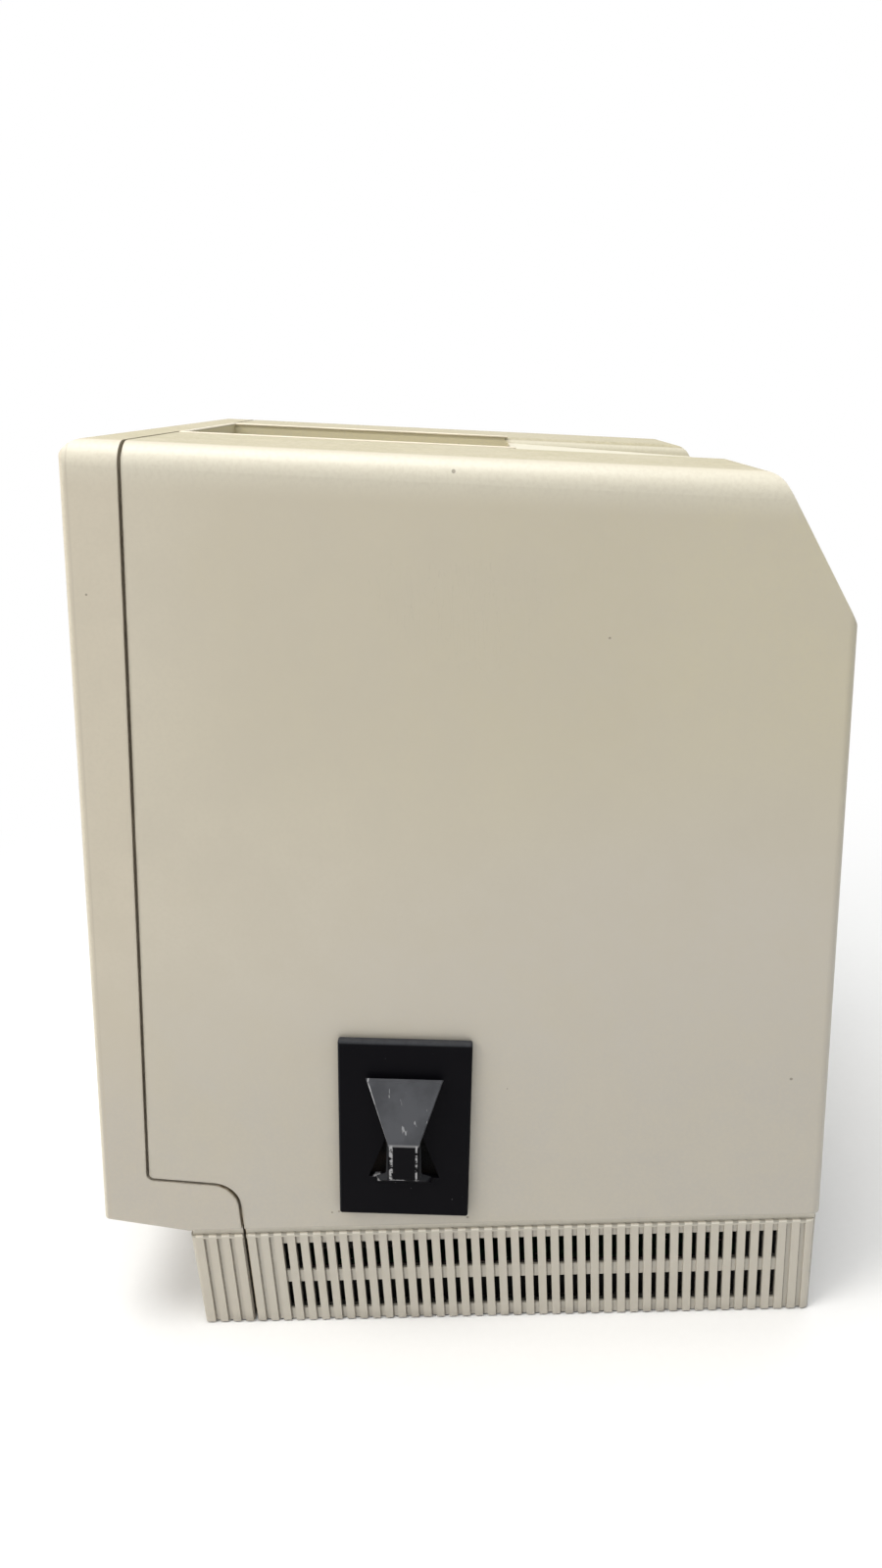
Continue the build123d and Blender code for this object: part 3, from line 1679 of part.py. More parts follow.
control_front = wheel_y + wheel_width / 2 + gap
with BuildPart() as brightness_control:
    rod(control_shaft_radius, (wheel_x, wheel_y - wheel_width / 2, wheel_z), (0, 1, 0), wheel_width + gap * 2)
    rod(control_radius, (wheel_x, control_front, wheel_z), (0, 1, 0), control_depth)
    slab(
        wheel_x - control_radius,
        wheel_x + control_radius,
        control_front,
        control_front + control_depth,
        chin_level(control_front) + bezel_wall * chin_wall_share,
        wheel_z,
    )

# Cover of the expansion opening in the rear wall, with a lip behind it
with BuildPart() as expansion_cover:
    cover_back = rear_y - wall
    slab(
        cover_x - cover_width / 2 + gap,
        cover_x + cover_width / 2 - gap,
        cover_back,
        rear_y,
        cover_z - cover_height / 2 + gap,
        cover_z + cover_height / 2 - gap,
    )
    slab(
        cover_x - cover_width / 2 - cover_lip,
        cover_x + cover_width / 2 + cover_lip,
        cover_back - cover_lip_thickness,
        cover_back,
        cover_z - cover_height / 2 - cover_lip,
        cover_z + cover_height / 2 + cover_lip,
    )

# Case screws: two in the well, two at the rear
with BuildPart() as case_screws:
    for x in (-handle_screw_x, handle_screw_x):
        seat = front_plane.from_local_coords((x, handle_screw_up, -screw_seat))
        rod(shank_radius, seat, front_plane.z_dir, shank_length)
        rod(screw_head_radius, seat, -front_plane.z_dir, screw_head)
    for x in (-rear_screw_x, rear_screw_x):
        seat = (x, rear_y - rear_screw_sink, rear_screw_z)
        rod(shank_radius, seat, (0, -1, 0), shank_length)
        rod(screw_head_radius, seat, (0, 1, 0), screw_head)

# Rubber feet
with BuildPart() as rubber_feet:
    with BuildSketch(Plane.XY):
        with Locations(
            (-pad_x, pad_front_y),
            (pad_x, pad_front_y),
            (-pad_x, pad_rear_y),
            (pad_x, pad_rear_y),
        ):
            Circle(pad_radius)
    extrude(amount=pad_height)

# Dock plate on its foam pad, with a flared tab that stands off the plate in front of a hole
dock_turn = radians(dock_tilt)


def dock_plane(reach):
    """Plane of the dock plate at a distance out from the side of the case."""
    return Plane(
        origin=(half_width + reach, dock_y, dock_z),
        x_dir=(0, cos(dock_turn), -sin(dock_turn)),
        z_dir=(1, 0, 0),
    )


with BuildPart() as dock_pad:
    with BuildSketch(dock_plane(0)):
        Rectangle(dock_width - dock_pad_margin * 2, dock_height - dock_pad_margin * 2)
    extrude(amount=dock_pad_thickness)

plate_face = dock_pad_thickness + dock_thickness
with BuildPart() as tab_outline:
    with BuildSketch(dock_plane(dock_reach)):
        with BuildLine():
            Polyline(
                (-tab_root_width / 2, tab_root),
                (tab_root_width / 2, tab_root),
                (tab_root_width / 2, dock_hole_low),
                (tab_stem_width / 2, tab_foot_height),
                (tab_stem_width / 2, tab_ridge_height),
                (tab_head_width / 2, tab_head_height),
                (-tab_head_width / 2, tab_head_height),
                (-tab_stem_width / 2, tab_ridge_height),
                (-tab_stem_width / 2, tab_foot_height),
                (-tab_root_width / 2, dock_hole_low),
                close=True,
            )
        make_face()
    extrude(amount=-dock_reach, taper=-tab_draft)

# Bent strip of the tab, seen from its edge, trimmed to that outline
with BuildPart() as tab_bend:
    with BuildSketch(Plane(dock_plane(plate_face).origin, x_dir=(1, 0, 0), z_dir=-dock_plane(0).x_dir)):
        with BuildLine():
            Polyline(
                (-dock_thickness, tab_root),
                (0, tab_root),
                (tab_foot_reach, tab_foot_height),
                (tab_ridge_reach, tab_ridge_height),
                (tab_head_reach, tab_head_height),
                (tab_head_reach - tab_thickness, tab_head_height),
                (tab_ridge_reach - tab_thickness, tab_ridge_height),
                (tab_foot_reach - tab_thickness, tab_foot_height + tab_thickness),
                (0, dock_hole_low),
                (-dock_thickness, dock_hole_low),
                close=True,
            )
        make_face()
    extrude(amount=tab_head_width, both=True)
    add(tab_outline.part, mode=Mode.INTERSECT)

with BuildPart() as dock_plate:
    with BuildSketch(dock_plane(dock_pad_thickness)):
        RectangleRounded(dock_width, dock_height, dock_corner)
    extrude(amount=dock_thickness)
    fillet(dock_plate.faces().sort_by(Axis.X)[-1].edges(), dock_round)
    with BuildSketch(dock_plane(0)):
        with BuildLine():
            Polyline(
                (-dock_hole_base / 2, dock_hole_low),
                (dock_hole_base / 2, dock_hole_low),
                (dock_hole_crest / 2, dock_hole_high),
                (-dock_hole_crest / 2, dock_hole_high),
                close=True,
            )
        make_face()
    extrude(amount=dock_reach, mode=Mode.SUBTRACT)
    add(tab_bend.part)

# Every piece is written about the middle of the whole, dock plate included
pieces = {
    "front_bezel": front_bezel,
    "rear_case": rear_case,
    "picture_tube": picture_tube,
    "rim_band": rim_band,
    "tube_screws": tube_screws,
    "deflection_yoke": deflection_yoke,
    "neck_board": neck_board,
    "anode_cup": anode_cup,
    "anode_lead": anode_lead,
    "flyback": flyback,
    "chassis": chassis,
    "board_spacers": board_spacers,
    "analog_board": analog_board,
    "capacitors": capacitors,
    "heat_sink": heat_sink,
    "power_supply": power_supply,
    "power_inlet": power_inlet,
    "rocker_frame": rocker_frame,
    "power_rocker": power_rocker,
    "fan_frame": fan_frame,
    "fan_rotor": fan_rotor,
    "drive_bracket": drive_bracket,
    "hard_drive": hard_drive,
    "hard_drive_board": hard_drive_board,
    "floppy_drive": floppy_drive,
    "floppy_spindle": floppy_spindle,
    "head_carriage": head_carriage,
    "lead_screw": lead_screw,
    "stepper_motor": stepper_motor,
    "logic_board": logic_board,
    "processor": processor,
    "logic_chips": logic_chips,
    "memory_sockets": memory_sockets,
    "memory_modules": memory_modules,
    "battery_holder": battery_holder,
    "battery": battery,
    "board_headers": board_headers,
    "floppy_ribbon": floppy_ribbon,
    "drive_ribbon": drive_ribbon,
    "power_harness": power_harness,
    "rear_connectors": rear_connectors,
    "port_shield": port_shield,
    "speaker": speaker,
    "drive_light": drive_light,
    "brightness_wheel": brightness_wheel,
    "brightness_control": brightness_control,
    "expansion_cover": expansion_cover,
    "case_screws": case_screws,
    "rubber_feet": rubber_feet,
    "dock_pad": dock_pad,
    "dock_plate": dock_plate,
}
os.makedirs("parts", exist_ok=True)
for name, piece in pieces.items():
    placed = piece.part.moved(Location((-width_shift, -depth_shift, 0)))
    placed.label = name
    export_step(placed, f"parts/{name}.step")
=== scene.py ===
from functools import reduce
from math import cos, pi, radians, sin, tan

import bpy
import numpy as np
from mathutils import Matrix, Vector


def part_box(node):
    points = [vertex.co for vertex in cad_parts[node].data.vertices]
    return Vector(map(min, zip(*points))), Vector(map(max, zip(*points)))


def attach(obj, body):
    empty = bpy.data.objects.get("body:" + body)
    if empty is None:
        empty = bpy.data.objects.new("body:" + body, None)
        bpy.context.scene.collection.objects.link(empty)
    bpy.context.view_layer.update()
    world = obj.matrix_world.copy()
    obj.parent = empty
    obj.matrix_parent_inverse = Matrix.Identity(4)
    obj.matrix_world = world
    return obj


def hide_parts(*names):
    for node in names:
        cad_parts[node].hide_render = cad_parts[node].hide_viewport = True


bl_info = {
    "name": "Compact Desktop Computer",
    "version": (1, 0, 0),
    "blender": (4, 5, 0),
    "location": "View3D > Sidebar > Computer",
    "description": "Finishes and small fittings for a compact desktop computer in a beige moulded case",
    "category": "Add Mesh",
}

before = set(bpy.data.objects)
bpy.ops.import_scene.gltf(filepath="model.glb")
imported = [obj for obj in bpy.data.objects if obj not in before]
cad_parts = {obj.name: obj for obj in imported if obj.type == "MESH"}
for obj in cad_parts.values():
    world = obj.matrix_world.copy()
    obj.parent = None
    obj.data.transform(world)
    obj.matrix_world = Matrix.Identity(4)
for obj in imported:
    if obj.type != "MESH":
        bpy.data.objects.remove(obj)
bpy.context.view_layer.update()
CASE_LOW, CASE_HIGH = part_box("rear_case")
DOCK_LOW, DOCK_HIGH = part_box("dock_plate")
CASE_X = (CASE_LOW[0] + CASE_HIGH[0]) / 2
SIDE_X = CASE_HIGH[0]
REAR_Y = CASE_HIGH[1]
FRONT_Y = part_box("front_bezel")[0][1]
HALF_WIDTH = SIDE_X - CASE_X

# Side view of the case: lean of its front, lowest front edge, and the crown where the front meets the sloping top
LEAN = radians(5.6)
TOP_SLOPE = tan(LEAN)
CHIN_Z = 0.0547
CROWN_Z = 0.346
CROWN_Y = FRONT_Y + (CROWN_Z - CHIN_Z) * TOP_SLOPE
# Seam between the mouldings: down from the crown, back along a step, then down through the base
SEAM_LOW_Z = 0.0718
SEAM_STEP_Z = 0.0673
SEAM_LOW_Y = FRONT_Y + 0.0173 + (SEAM_LOW_Z - CHIN_Z) * TOP_SLOPE
SEAM_TOP_Y = CROWN_Y + 0.0188 * cos(LEAN)
SEAM_FOOT_Y = FRONT_Y + 0.0533
SEAM_SLOPE = (SEAM_TOP_Y - SEAM_LOW_Y) / (CROWN_Z - SEAM_LOW_Z)
SEAM_STEP_SLOPE = (SEAM_LOW_Z - SEAM_STEP_Z) / (SEAM_FOOT_Y - SEAM_LOW_Y)
SEAM_GAP = 0.0012
SEAM_INNER_ROUND, SEAM_OUTER_ROUND = 0.003, 0.0095
# Base: its top, how far its ribs stand in from the side, draft, and the ribs' pitch and grooves
BASE_TOP = 0.0477
BASE_INSET = 0.00175
BASE_DRAFT = tan(radians(1.2))
RIB_TOP = 0.0442
RIB_PITCH = 0.00517
GROOVE_HALF = 0.001025
FOOT_Y = FRONT_Y + 0.0324
# Top: rounding along the sides, handle well, and the ridge between the well and the channel behind it
FILLET = 0.008
WELL_HALF = 0.0495
WELL_FRONT_Y = SEAM_TOP_Y + SEAM_GAP + 0.002 * cos(LEAN)
WELL_EDGE = 0.0009
RIDGE_Y = FRONT_Y + 0.1728

# Small dark marks on the side and on the bezel: place along the depth, height and radius
MARKS = (
    (0.0115, 0.3297, 0.0007),
    (0.0592, 0.2754, 0.0005),
    (0.1246, 0.1082, 0.0008),
    (-0.1081, 0.2976, 0.0005),
    (0.0205, 0.1078, 0.0004),
    (-0.0492, 0.0545, 0.0006),
    (-0.0465, 0.0548, 0.0005),
    (0.0032, 0.0504, 0.0007),
)

# Dock plate: its middle and turn, and the lines of its plate and tab across and up from that middle
DOCK_Y = (DOCK_LOW[1] + DOCK_HIGH[1]) / 2
DOCK_Z = (DOCK_LOW[2] + DOCK_HIGH[2]) / 2
DOCK_TILT = radians(4.0)
DOCK_FACE_X = SIDE_X + 0.0035
PLATE_TOP, PLATE_LEFT = 0.03805, -0.0246
HEAD_LOW, HEAD_LOW_HALF, HEAD_FLARE = -0.0021, 0.0061, 0.2824
STEM_HALF, STEM_LEFT, STEM_RIGHT = 0.0055, -0.0047, 0.0048
STEM_FOOT, LEDGE_UP, LEDGE_ACROSS = -0.0186, -0.0203, -0.0105

# Seats of the case screws: across, depth and height at the rear, then in the well
SCREW_REAR_X, SCREW_REAR_Y, SCREW_REAR_Z = 0.1040, 0.13575, 0.0580
SCREW_WELL_X, SCREW_WELL_Y, SCREW_WELL_Z = 0.0340, -0.09891, 0.32781
# Heights along a case screw, above the seat of its head
SCREW_TIP, SCREW_TAPER, HEAD_RIM, HEAD_TOP = -0.0100, -0.0095, 0.0018, 0.0024
RECESS_LIP, RECESS_WALL, RECESS_FLOOR, RECESS_LOBES = 0.0022, 0.0007, 0.0004, 0.16

# Rear connectors: faces of their shells and mouldings, and levels of the long and of the round ones
PORT_SHELL_Y, PORT_BLOCK_Y = 0.1370, 0.1358
LONG_LEVEL, ROUND_LEVEL = 0.01985, 0.0201
# Rows of contacts in a connector, each with its number, pitch and height over the level
SMALL_ROWS = ((2, 0.0034, 0.0012), (2, 0.0022, -0.0014))
ROUND_ROWS = ((3, 0.0022, 0.0020), (3, 0.0024, 0.0), (2, 0.0024, -0.0020))
# Connectors: middle, level, face and rows
PORTS = (
    (-0.0921, ROUND_LEVEL, PORT_BLOCK_Y, SMALL_ROWS),
    (-0.0736, ROUND_LEVEL, PORT_BLOCK_Y, SMALL_ROWS),
    (-0.0411, LONG_LEVEL, PORT_SHELL_Y, ((10, 0.00277, 0.00142), (9, 0.00277, -0.00142))),
    (0.0109, LONG_LEVEL, PORT_SHELL_Y, ((13, 0.00277, 0.00142), (12, 0.00277, -0.00142))),
    (0.0489, ROUND_LEVEL, PORT_BLOCK_Y, ROUND_ROWS),
    (0.0674, ROUND_LEVEL, PORT_BLOCK_Y, ROUND_ROWS),
    (0.0844, LONG_LEVEL, PORT_BLOCK_Y, ((1, 0.002, 0.0),)),
)
# Inserts of the two long connectors: middle and half length, and the half height that they share
INSERTS = ((-0.0411, 0.0154), (0.0109, 0.0209))
INSERT_HALF = 0.0029
# Blades of the mains inlet: places across and up, half width, half height and the floor that they stand on
BLADES = ((-0.0956, 0.0780), (-0.0886, 0.0820), (-0.0816, 0.0780))
BLADE_WIDE, BLADE_TALL = 0.0010, 0.0020
INLET_FLOOR_Y = 0.12375
# Height up to which the chassis is laid near black, as painted shade seen through the base slots
PAINTED_SHADE_TOP = 0.046

# Lamps: name, place, diameter in metres, watts and colour, all aimed at one point in the computer
LAMP_AIM = Vector((0.0, 0.0, 0.20))
LAMPS = (
    ("window", (0.75, -1.15, 1.25), 0.9, 12.6, (1.0, 0.96, 0.90)),
    ("ceiling", (0.25, -0.15, 1.75), 1.2, 24.0, (1.0, 0.99, 0.96)),
    ("far_side", (-1.3, 0.9, 1.0), 1.4, 4.0, (0.96, 0.98, 1.0)),
)
FLOOR_REACH = 6.0


class Sizes(bpy.types.PropertyGroup):
    """Sizes of the drawn finishes and fittings, in metres."""

    grain: bpy.props.FloatProperty(
        name="Mould grain", description="Width of one grain of the moulded texture", default=0.0007, unit="LENGTH"
    )
    grain_height: bpy.props.FloatProperty(
        name="Grain height", description="Height of the moulded texture", default=0.00003, unit="LENGTH"
    )
    seam_dirt: bpy.props.FloatProperty(
        name="Seam dirt", description="Reach of the dirt beside the seam", default=0.0009, unit="LENGTH"
    )
    screw_head: bpy.props.FloatProperty(
        name="Screw head", description="Radius of a case screw's head", default=0.0036, unit="LENGTH"
    )
    screw_shank: bpy.props.FloatProperty(
        name="Screw shank", description="Radius of a case screw's shank", default=0.0018, unit="LENGTH"
    )
    screw_recess: bpy.props.FloatProperty(
        name="Screw recess", description="Radius of the drive recess in a screw head", default=0.0017, unit="LENGTH"
    )
    pin_radius: bpy.props.FloatProperty(
        name="Contact radius", description="Radius of one contact in the rear sockets", default=0.00075, unit="LENGTH"
    )
    rim_width: bpy.props.FloatProperty(
        name="Rim width", description="Width of the bead round the handle well", default=0.0013, unit="LENGTH"
    )
    rim_height: bpy.props.FloatProperty(
        name="Rim height", description="Height of the bead round the handle well", default=0.0005, unit="LENGTH"
    )


class Colours(bpy.types.PropertyGroup):
    """Colours of the finishes."""

    case: bpy.props.FloatVectorProperty(
        name="Case", description="Aged beige of the mouldings", subtype="COLOR", size=3, default=(0.545, 0.498, 0.402)
    )
    dust: bpy.props.FloatVectorProperty(
        name="Dusty top", description="Coarse top and well", subtype="COLOR", size=3, default=(0.430, 0.392, 0.268)
    )
    # Brown colour of seam grime and specks, also laid as painted shadow under the base's step and in the grooves
    dirt_and_shadow: bpy.props.FloatVectorProperty(
        name="Dirt", description="Brown dirt in seams and grooves", subtype="COLOR", size=3,
        default=(0.072, 0.052, 0.034),
    )
    gap: bpy.props.FloatVectorProperty(
        name="Seam gap", description="Faces inside the seam", subtype="COLOR", size=3, default=(0.20, 0.155, 0.10)
    )
    # Near-black painted shade laid on the faces inside the base
    inner_shade: bpy.props.FloatVectorProperty(
        name="Inner coat", description="Dark coat inside the base", subtype="COLOR", size=3,
        default=(0.010, 0.010, 0.010),
    )
    # Grey laid on the tab's head as a painted reflection, and darker on its sides, stem and lit top bevel
    tab: bpy.props.FloatVectorProperty(
        name="Tab", description="Scuffed grey of the dock tab", subtype="COLOR", size=3, default=(0.088, 0.091, 0.100)
    )
    dock: bpy.props.FloatVectorProperty(
        name="Dock plate", description="Black plastic of the dock plate", subtype="COLOR", size=3,
        default=(0.0035, 0.0033, 0.0046),
    )
    worn: bpy.props.FloatVectorProperty(
        name="Worn edge", description="Silvery rubbed edges of the dock plate", subtype="COLOR", size=3,
        default=(0.42, 0.42, 0.43),
    )
    floor: bpy.props.FloatVectorProperty(
        name="Floor", description="Pale floor", subtype="COLOR", size=3, default=(0.86, 0.86, 0.86)
    )


class View(bpy.types.PropertyGroup):
    """The camera, as solved from the photograph on the corners of the case."""

    place: bpy.props.FloatVectorProperty(
        name="Place", description="Camera position", subtype="TRANSLATION", size=3, unit="LENGTH",
        default=(0.48206, 0.01769, 0.35402),
    )
    turn: bpy.props.FloatProperty(
        name="Turn", description="Turn about the vertical", default=radians(-2.414), subtype="ANGLE"
    )
    tip: bpy.props.FloatProperty(
        name="Tip", description="Downward tip", default=radians(19.013), subtype="ANGLE"
    )
    roll: bpy.props.FloatProperty(
        name="Roll", description="Roll about the line of sight", default=radians(3.214), subtype="ANGLE"
    )
    lens: bpy.props.FloatProperty(
        name="Lens", description="Focal length on a 36 mm tall frame, in millimetres", default=26.31
    )


class Value:
    """A socket whose Python operators add Math nodes to its tree."""

    def __init__(self, maker, socket):
        self.maker = maker
        self.socket = socket

    def math(self, operation, *others):
        """A Math node on this value and the others."""
        return self.maker.node("ShaderNodeMath", {"operation": operation}, self, *others)

    def __add__(self, other):
        return self.math("ADD", other)

    def __sub__(self, other):
        return self.math("SUBTRACT", other)

    def __rsub__(self, other):
        return self.maker.node("ShaderNodeMath", {"operation": "SUBTRACT"}, other, self)

    def __mul__(self, other):
        return self.math("MULTIPLY", other)

    def __abs__(self):
        return self.math("ABSOLUTE")

    __radd__ = __add__
    __rmul__ = __mul__

    def least(self, other):
        return self.math("MINIMUM", other)

    def most(self, other):
        return self.math("MAXIMUM", other)

    def rise(self, low, high):
        """0 below low, 1 above high and a smooth step between; low above high turns it round."""
        ends = (low, high, 0.0, 1.0) if low < high else (high, low, 1.0, 0.0)
        return self.maker.node("ShaderNodeMapRange", {"interpolation_type": "SMOOTHSTEP"}, self, *ends)

    def near(self, middle, reach):
        """1 at a middle value, falling to 0 at a reach to either side of it."""
        return abs(self - middle).rise(reach, reach * 0.4)

    def length(self, other):
        """Length of the vector with this and the other as its parts."""
        both = self.maker.node("ShaderNodeCombineXYZ", {}, self, other)
        return self.maker.node("ShaderNodeVectorMath", {"operation": "LENGTH"}, both, out=1)

    def both(self, other, radius):
        """Distance to what lies in this region and in the other, its corner rounded."""
        corner = (self + radius).most(0.0).length((other + radius).most(0.0))
        return self.most(other).least(-radius) + corner

    def either(self, other, radius):
        """Distance to what lies in this region or in the other, its inner corner rounded."""
        corner = (radius - self).most(0.0).length((radius - other).most(0.0))
        return self.least(other).most(radius) - corner


class Nodes:
    """A node tree of a material or the world, and the one way in which nodes are added to it."""

    def __init__(self, tree):
        self.tree = tree

    def put(self, socket, value):
        """Links a Value to a socket or sets the socket to a constant; None leaves it as it is."""
        if isinstance(value, Value):
            self.tree.links.new(value.socket, socket)
        elif value is not None:
            socket.default_value = (*value, 1) if socket.type == "RGBA" else value

    def node(self, kind, settings, *values, out=0, **named):
        """A node of a type with its settings, then the values or links of its sockets, in order or by name."""
        node = self.tree.nodes.new(kind)
        for key, value in settings.items():
            setattr(node, key, value)
        for socket, value in zip(node.inputs, values):
            self.put(socket, value)
        for key, value in named.items():
            self.put(node.inputs[key.replace("_", " ")], value)
        return Value(self, node.outputs[out])

    def blend(self, first, second, share):
        """First colour where share is 0, second where it is 1."""
        others = [None] * 5  # a Mix node's sockets for numbers and vectors lie between its factor and its colours
        return self.node("ShaderNodeMix", {"data_type": "RGBA"}, share, *others, first, second, out=2)

    def surface(self, share, first, second, output):
        """Sends the first shader where share is 0, the second where it is 1, to the tree's output node."""
        mix = self.node("ShaderNodeMixShader", {}, share, first, second)
        self.put(self.tree.nodes[output].inputs["Surface"], mix)

    def seen(self):
        """1 on rays from the camera, off gloss and through glass, 0 on the rays that light things."""
        camera, glossy, clear = (self.node("ShaderNodeLightPath", {}, out=ray) for ray in (0, 3, 6))
        return camera.most(glossy).most(clear)


class Finish(Nodes):
    """A material: one Principled shader, the nodes that feed it, and the colour that is laid on so far."""

    def __init__(self, name, colour, rough, metal=0.0):
        self.material = bpy.data.materials.new(name)
        self.material.use_nodes = True
        self.material.diffuse_color = (*colour, 1)
        super().__init__(self.material.node_tree)
        self.shader = self.tree.nodes["Principled BSDF"]
        self.colour = colour
        self.set("Base Color", colour)
        self.set("Roughness", rough)
        self.set("Metallic", metal)

    def set(self, name, value):
        """Links a Value to a socket of the shader or sets the socket to a constant."""
        self.put(self.shader.inputs[name], value)

    def lay(self, colour, share):
        """Lays a colour over the ones before it, fully where the share is 1."""
        self.colour = self.blend(self.colour, colour, share)

    def place(self):
        """The object's own coordinates, as one vector and as x, y and z."""
        vector = self.vector()
        split = self.node("ShaderNodeSeparateXYZ", {}, vector).socket.node
        return vector, *(Value(self, output) for output in split.outputs)

    def vector(self):
        """The object's own coordinates."""
        return self.node("ShaderNodeTexCoord", {}, out=3)

    def stretch(self, vector, scale, turn=(0, 0, 0)):
        """The vector turned and scaled about the origin."""
        return self.node("ShaderNodeMapping", {}, vector, None, turn, scale)

    def noise(self, vector, scale, detail=3.0, rough=0.5):
        """Cloudy noise about 0.5."""
        return self.node("ShaderNodeTexNoise", {}, Vector=vector, Scale=scale, Detail=detail, Roughness=rough)

    def cells(self, vector, scale):
        """Distance to the nearest of scattered points."""
        return self.node("ShaderNodeTexVoronoi", {}, Vector=vector, Scale=scale)

    def relief(self, height, distance):
        """Bump from a height of 0 to 1, as tall as the distance."""
        self.set("Normal", self.node("ShaderNodeBump", {}, Strength=1.0, Distance=distance, Height=height))


def tint(colour, *parts):
    """The colour times one factor, or times a factor for each of red, green and blue."""
    return tuple(min(1.0, c * t) for c, t in zip(colour, parts if len(parts) == 3 else parts * 3))


def seam_distance(y, z):
    """Distance behind the bezel's side of the seam, below 0 in front of it."""
    upper = (y - SEAM_LOW_Y - (z - SEAM_LOW_Z) * SEAM_SLOPE) * (1 / (1 + SEAM_SLOPE**2) ** 0.5)
    step = (z - SEAM_LOW_Z + (y - SEAM_LOW_Y) * SEAM_STEP_SLOPE) * (1 / (1 + SEAM_STEP_SLOPE**2) ** 0.5)
    foot = y - SEAM_FOOT_Y
    return upper.either(step.both(foot, SEAM_OUTER_ROUND), SEAM_INNER_ROUND)


class Moulding(Finish):
    """Beige finish of the case mouldings, laid on in steps, with the places and noises that the steps share."""

    def __init__(self, name, sizes, colours, warmth):
        self.base = tint(colours.case, *warmth)
        super().__init__(name, self.base, 0.42)
        self.sizes = sizes
        self.colours = colours
        self.coords, x, self.y, self.z = self.place()
        # Distances from the middle of the case, over its sloping top and behind its leaning front
        self.side = abs(x - CASE_X)
        self.above = self.z - CROWN_Z + (self.y - CROWN_Y) * TOP_SLOPE
        self.front = (self.y - FRONT_Y) * cos(LEAN) - (self.z - CHIN_Z) * sin(LEAN)
        self.cloud = self.noise(self.coords, 38.0, 4.0, 0.6)
        self.blotch = self.noise(self.coords, 15.0, 4.0, 0.62)
        self.mottle = self.noise(self.coords, 330.0, 3.0, 0.65)

    def shade(self, share, *parts):
        """Lays on the base colour times its factors."""
        self.lay(tint(self.base, *parts), share)

    def age_and_shade(self):
        """Warm and bright towards the front and top, yellowed below the top, and cooler, duller and darker below and
        behind as painted shade.
        """
        y, z = self.y, self.z
        slow = self.noise(self.coords, 6.0, 3.0, 0.55)
        # Painted shade: a cooler, darker tone below and behind, with the brightest base colour towards the front and
        # top
        shaded_cool, yellow = tint(self.base, 0.925, 0.935, 0.985), tint(self.base, 0.960, 0.960, 0.890)
        behind = self.blend(shaded_cool, yellow, (z + slow * 0.06).rise(0.19, 0.29))
        self.colour = self.blend(behind, self.base, (z * 0.9 - y * 3.0 + slow * 0.5).rise(0.30, 0.85))
        # Painted shade: darker and cooler towards the bottom
        self.shade(z.rise(0.19, 0.07), 0.828, 0.846, 0.915)
        middle = z.rise(0.19, 0.27) * y.rise(-0.10, -0.05) * y.rise(0.10, 0.06)
        self.shade(middle * 0.6, 0.900, 0.895, 0.860)
        self.shade(self.cloud.rise(0.62, 0.34) * 0.35, 0.90)
        self.shade(self.blotch.rise(0.52, 0.72) * 0.22, 0.90, 0.88, 0.80)

    def weather_top(self):
        """Coarse dusty top with the well and channel in it, painted light on the well's side and front walls, and a
        painted highlight on the rounded side edges; returns the shares of the flat top and of all that is rough."""
        y, side, above, dust = self.y, self.side, self.above, self.colours.dust
        flat = above.rise(-0.0016, -0.0009) * side.rise(HALF_WIDTH - FILLET * 0.70, HALF_WIDTH - FILLET)
        well = above.rise(-0.030, -0.029) * side.rise(WELL_HALF + WELL_EDGE, WELL_HALF + 0.0006)
        well = well * y.rise(RIDGE_Y, RIDGE_Y - 0.001) * self.front.rise(0.007, 0.009)
        well = well * (y - WELL_FRONT_Y).rise(-0.0008, -0.0002).most(above.rise(-0.003, -0.004))
        streak = self.noise(self.stretch(self.coords, (1.0, 0.45, 1.0)), 210.0, 4.0, 0.7)
        dusty = self.blend(tint(dust, 0.93), tint(dust, 0.80), self.mottle.rise(0.30, 0.72))
        dusty = self.blend(dusty, tint(dust, 1.08), streak.rise(0.50, 0.66) * 0.6)
        dusty = self.blend(dusty, tint(self.base, 0.78, 0.78, 0.74), self.blotch.rise(0.62, 0.40) * 0.35)
        self.lay(dusty, flat * (self.cloud * 0.5 + 0.72))
        self.lay(self.blend(tint(dust, 0.92), dusty, 0.35), well)
        # Painted light: the well's side and front walls, just below its rim, are laid paler than the dust in the well
        walls = side.near(WELL_HALF, WELL_EDGE).most((y - WELL_FRONT_Y).near(0.0, WELL_EDGE))
        self.lay(tint(dust, 1.38), well * walls * above.rise(-0.0003, -0.0008) * 0.85)
        channel = y.rise(RIDGE_Y, RIDGE_Y + 0.002) * side.rise(WELL_HALF + 0.006, WELL_HALF + 0.004)
        channel = channel * above.rise(-0.0009, -0.0016) * above.rise(-0.014, -0.012)
        self.shade(channel, 1.04, 1.08, 1.08)
        # Painted highlight: paler and cooler on the rounded edges along the top of the sides
        rounded = side.rise(HALF_WIDTH - FILLET * 0.85, HALF_WIDTH - FILLET * 0.45)
        rounded = rounded * above.rise(-FILLET * 2.0, -FILLET * 0.5)
        self.shade(rounded * 0.9, 1.13, 1.17, 1.20)
        return flat, flat.most(well).most(channel * 0.6)

    def soil_seam(self):
        """Dirty lips of the seam, a painted highlight along the rounded front edge and a fine line behind it; returns
        the seam's gap.
        """
        seam = seam_distance(self.y, self.z)
        lips = abs(seam - SEAM_GAP / 2).rise(SEAM_GAP / 2 + self.sizes.seam_dirt, SEAM_GAP / 2)
        self.lay(self.colours.dirt_and_shadow, lips * self.cloud.rise(0.30, 0.62) * 0.30)
        # Painted highlight: paler within about a millimetre behind the leaning front
        self.shade(self.front.rise(0.0018, 0.0008) * 0.75, 1.20)
        self.shade(self.front.near(0.0025, 0.0004) * 0.6, 0.86)
        return seam.near(SEAM_GAP / 2, SEAM_GAP * 0.62)

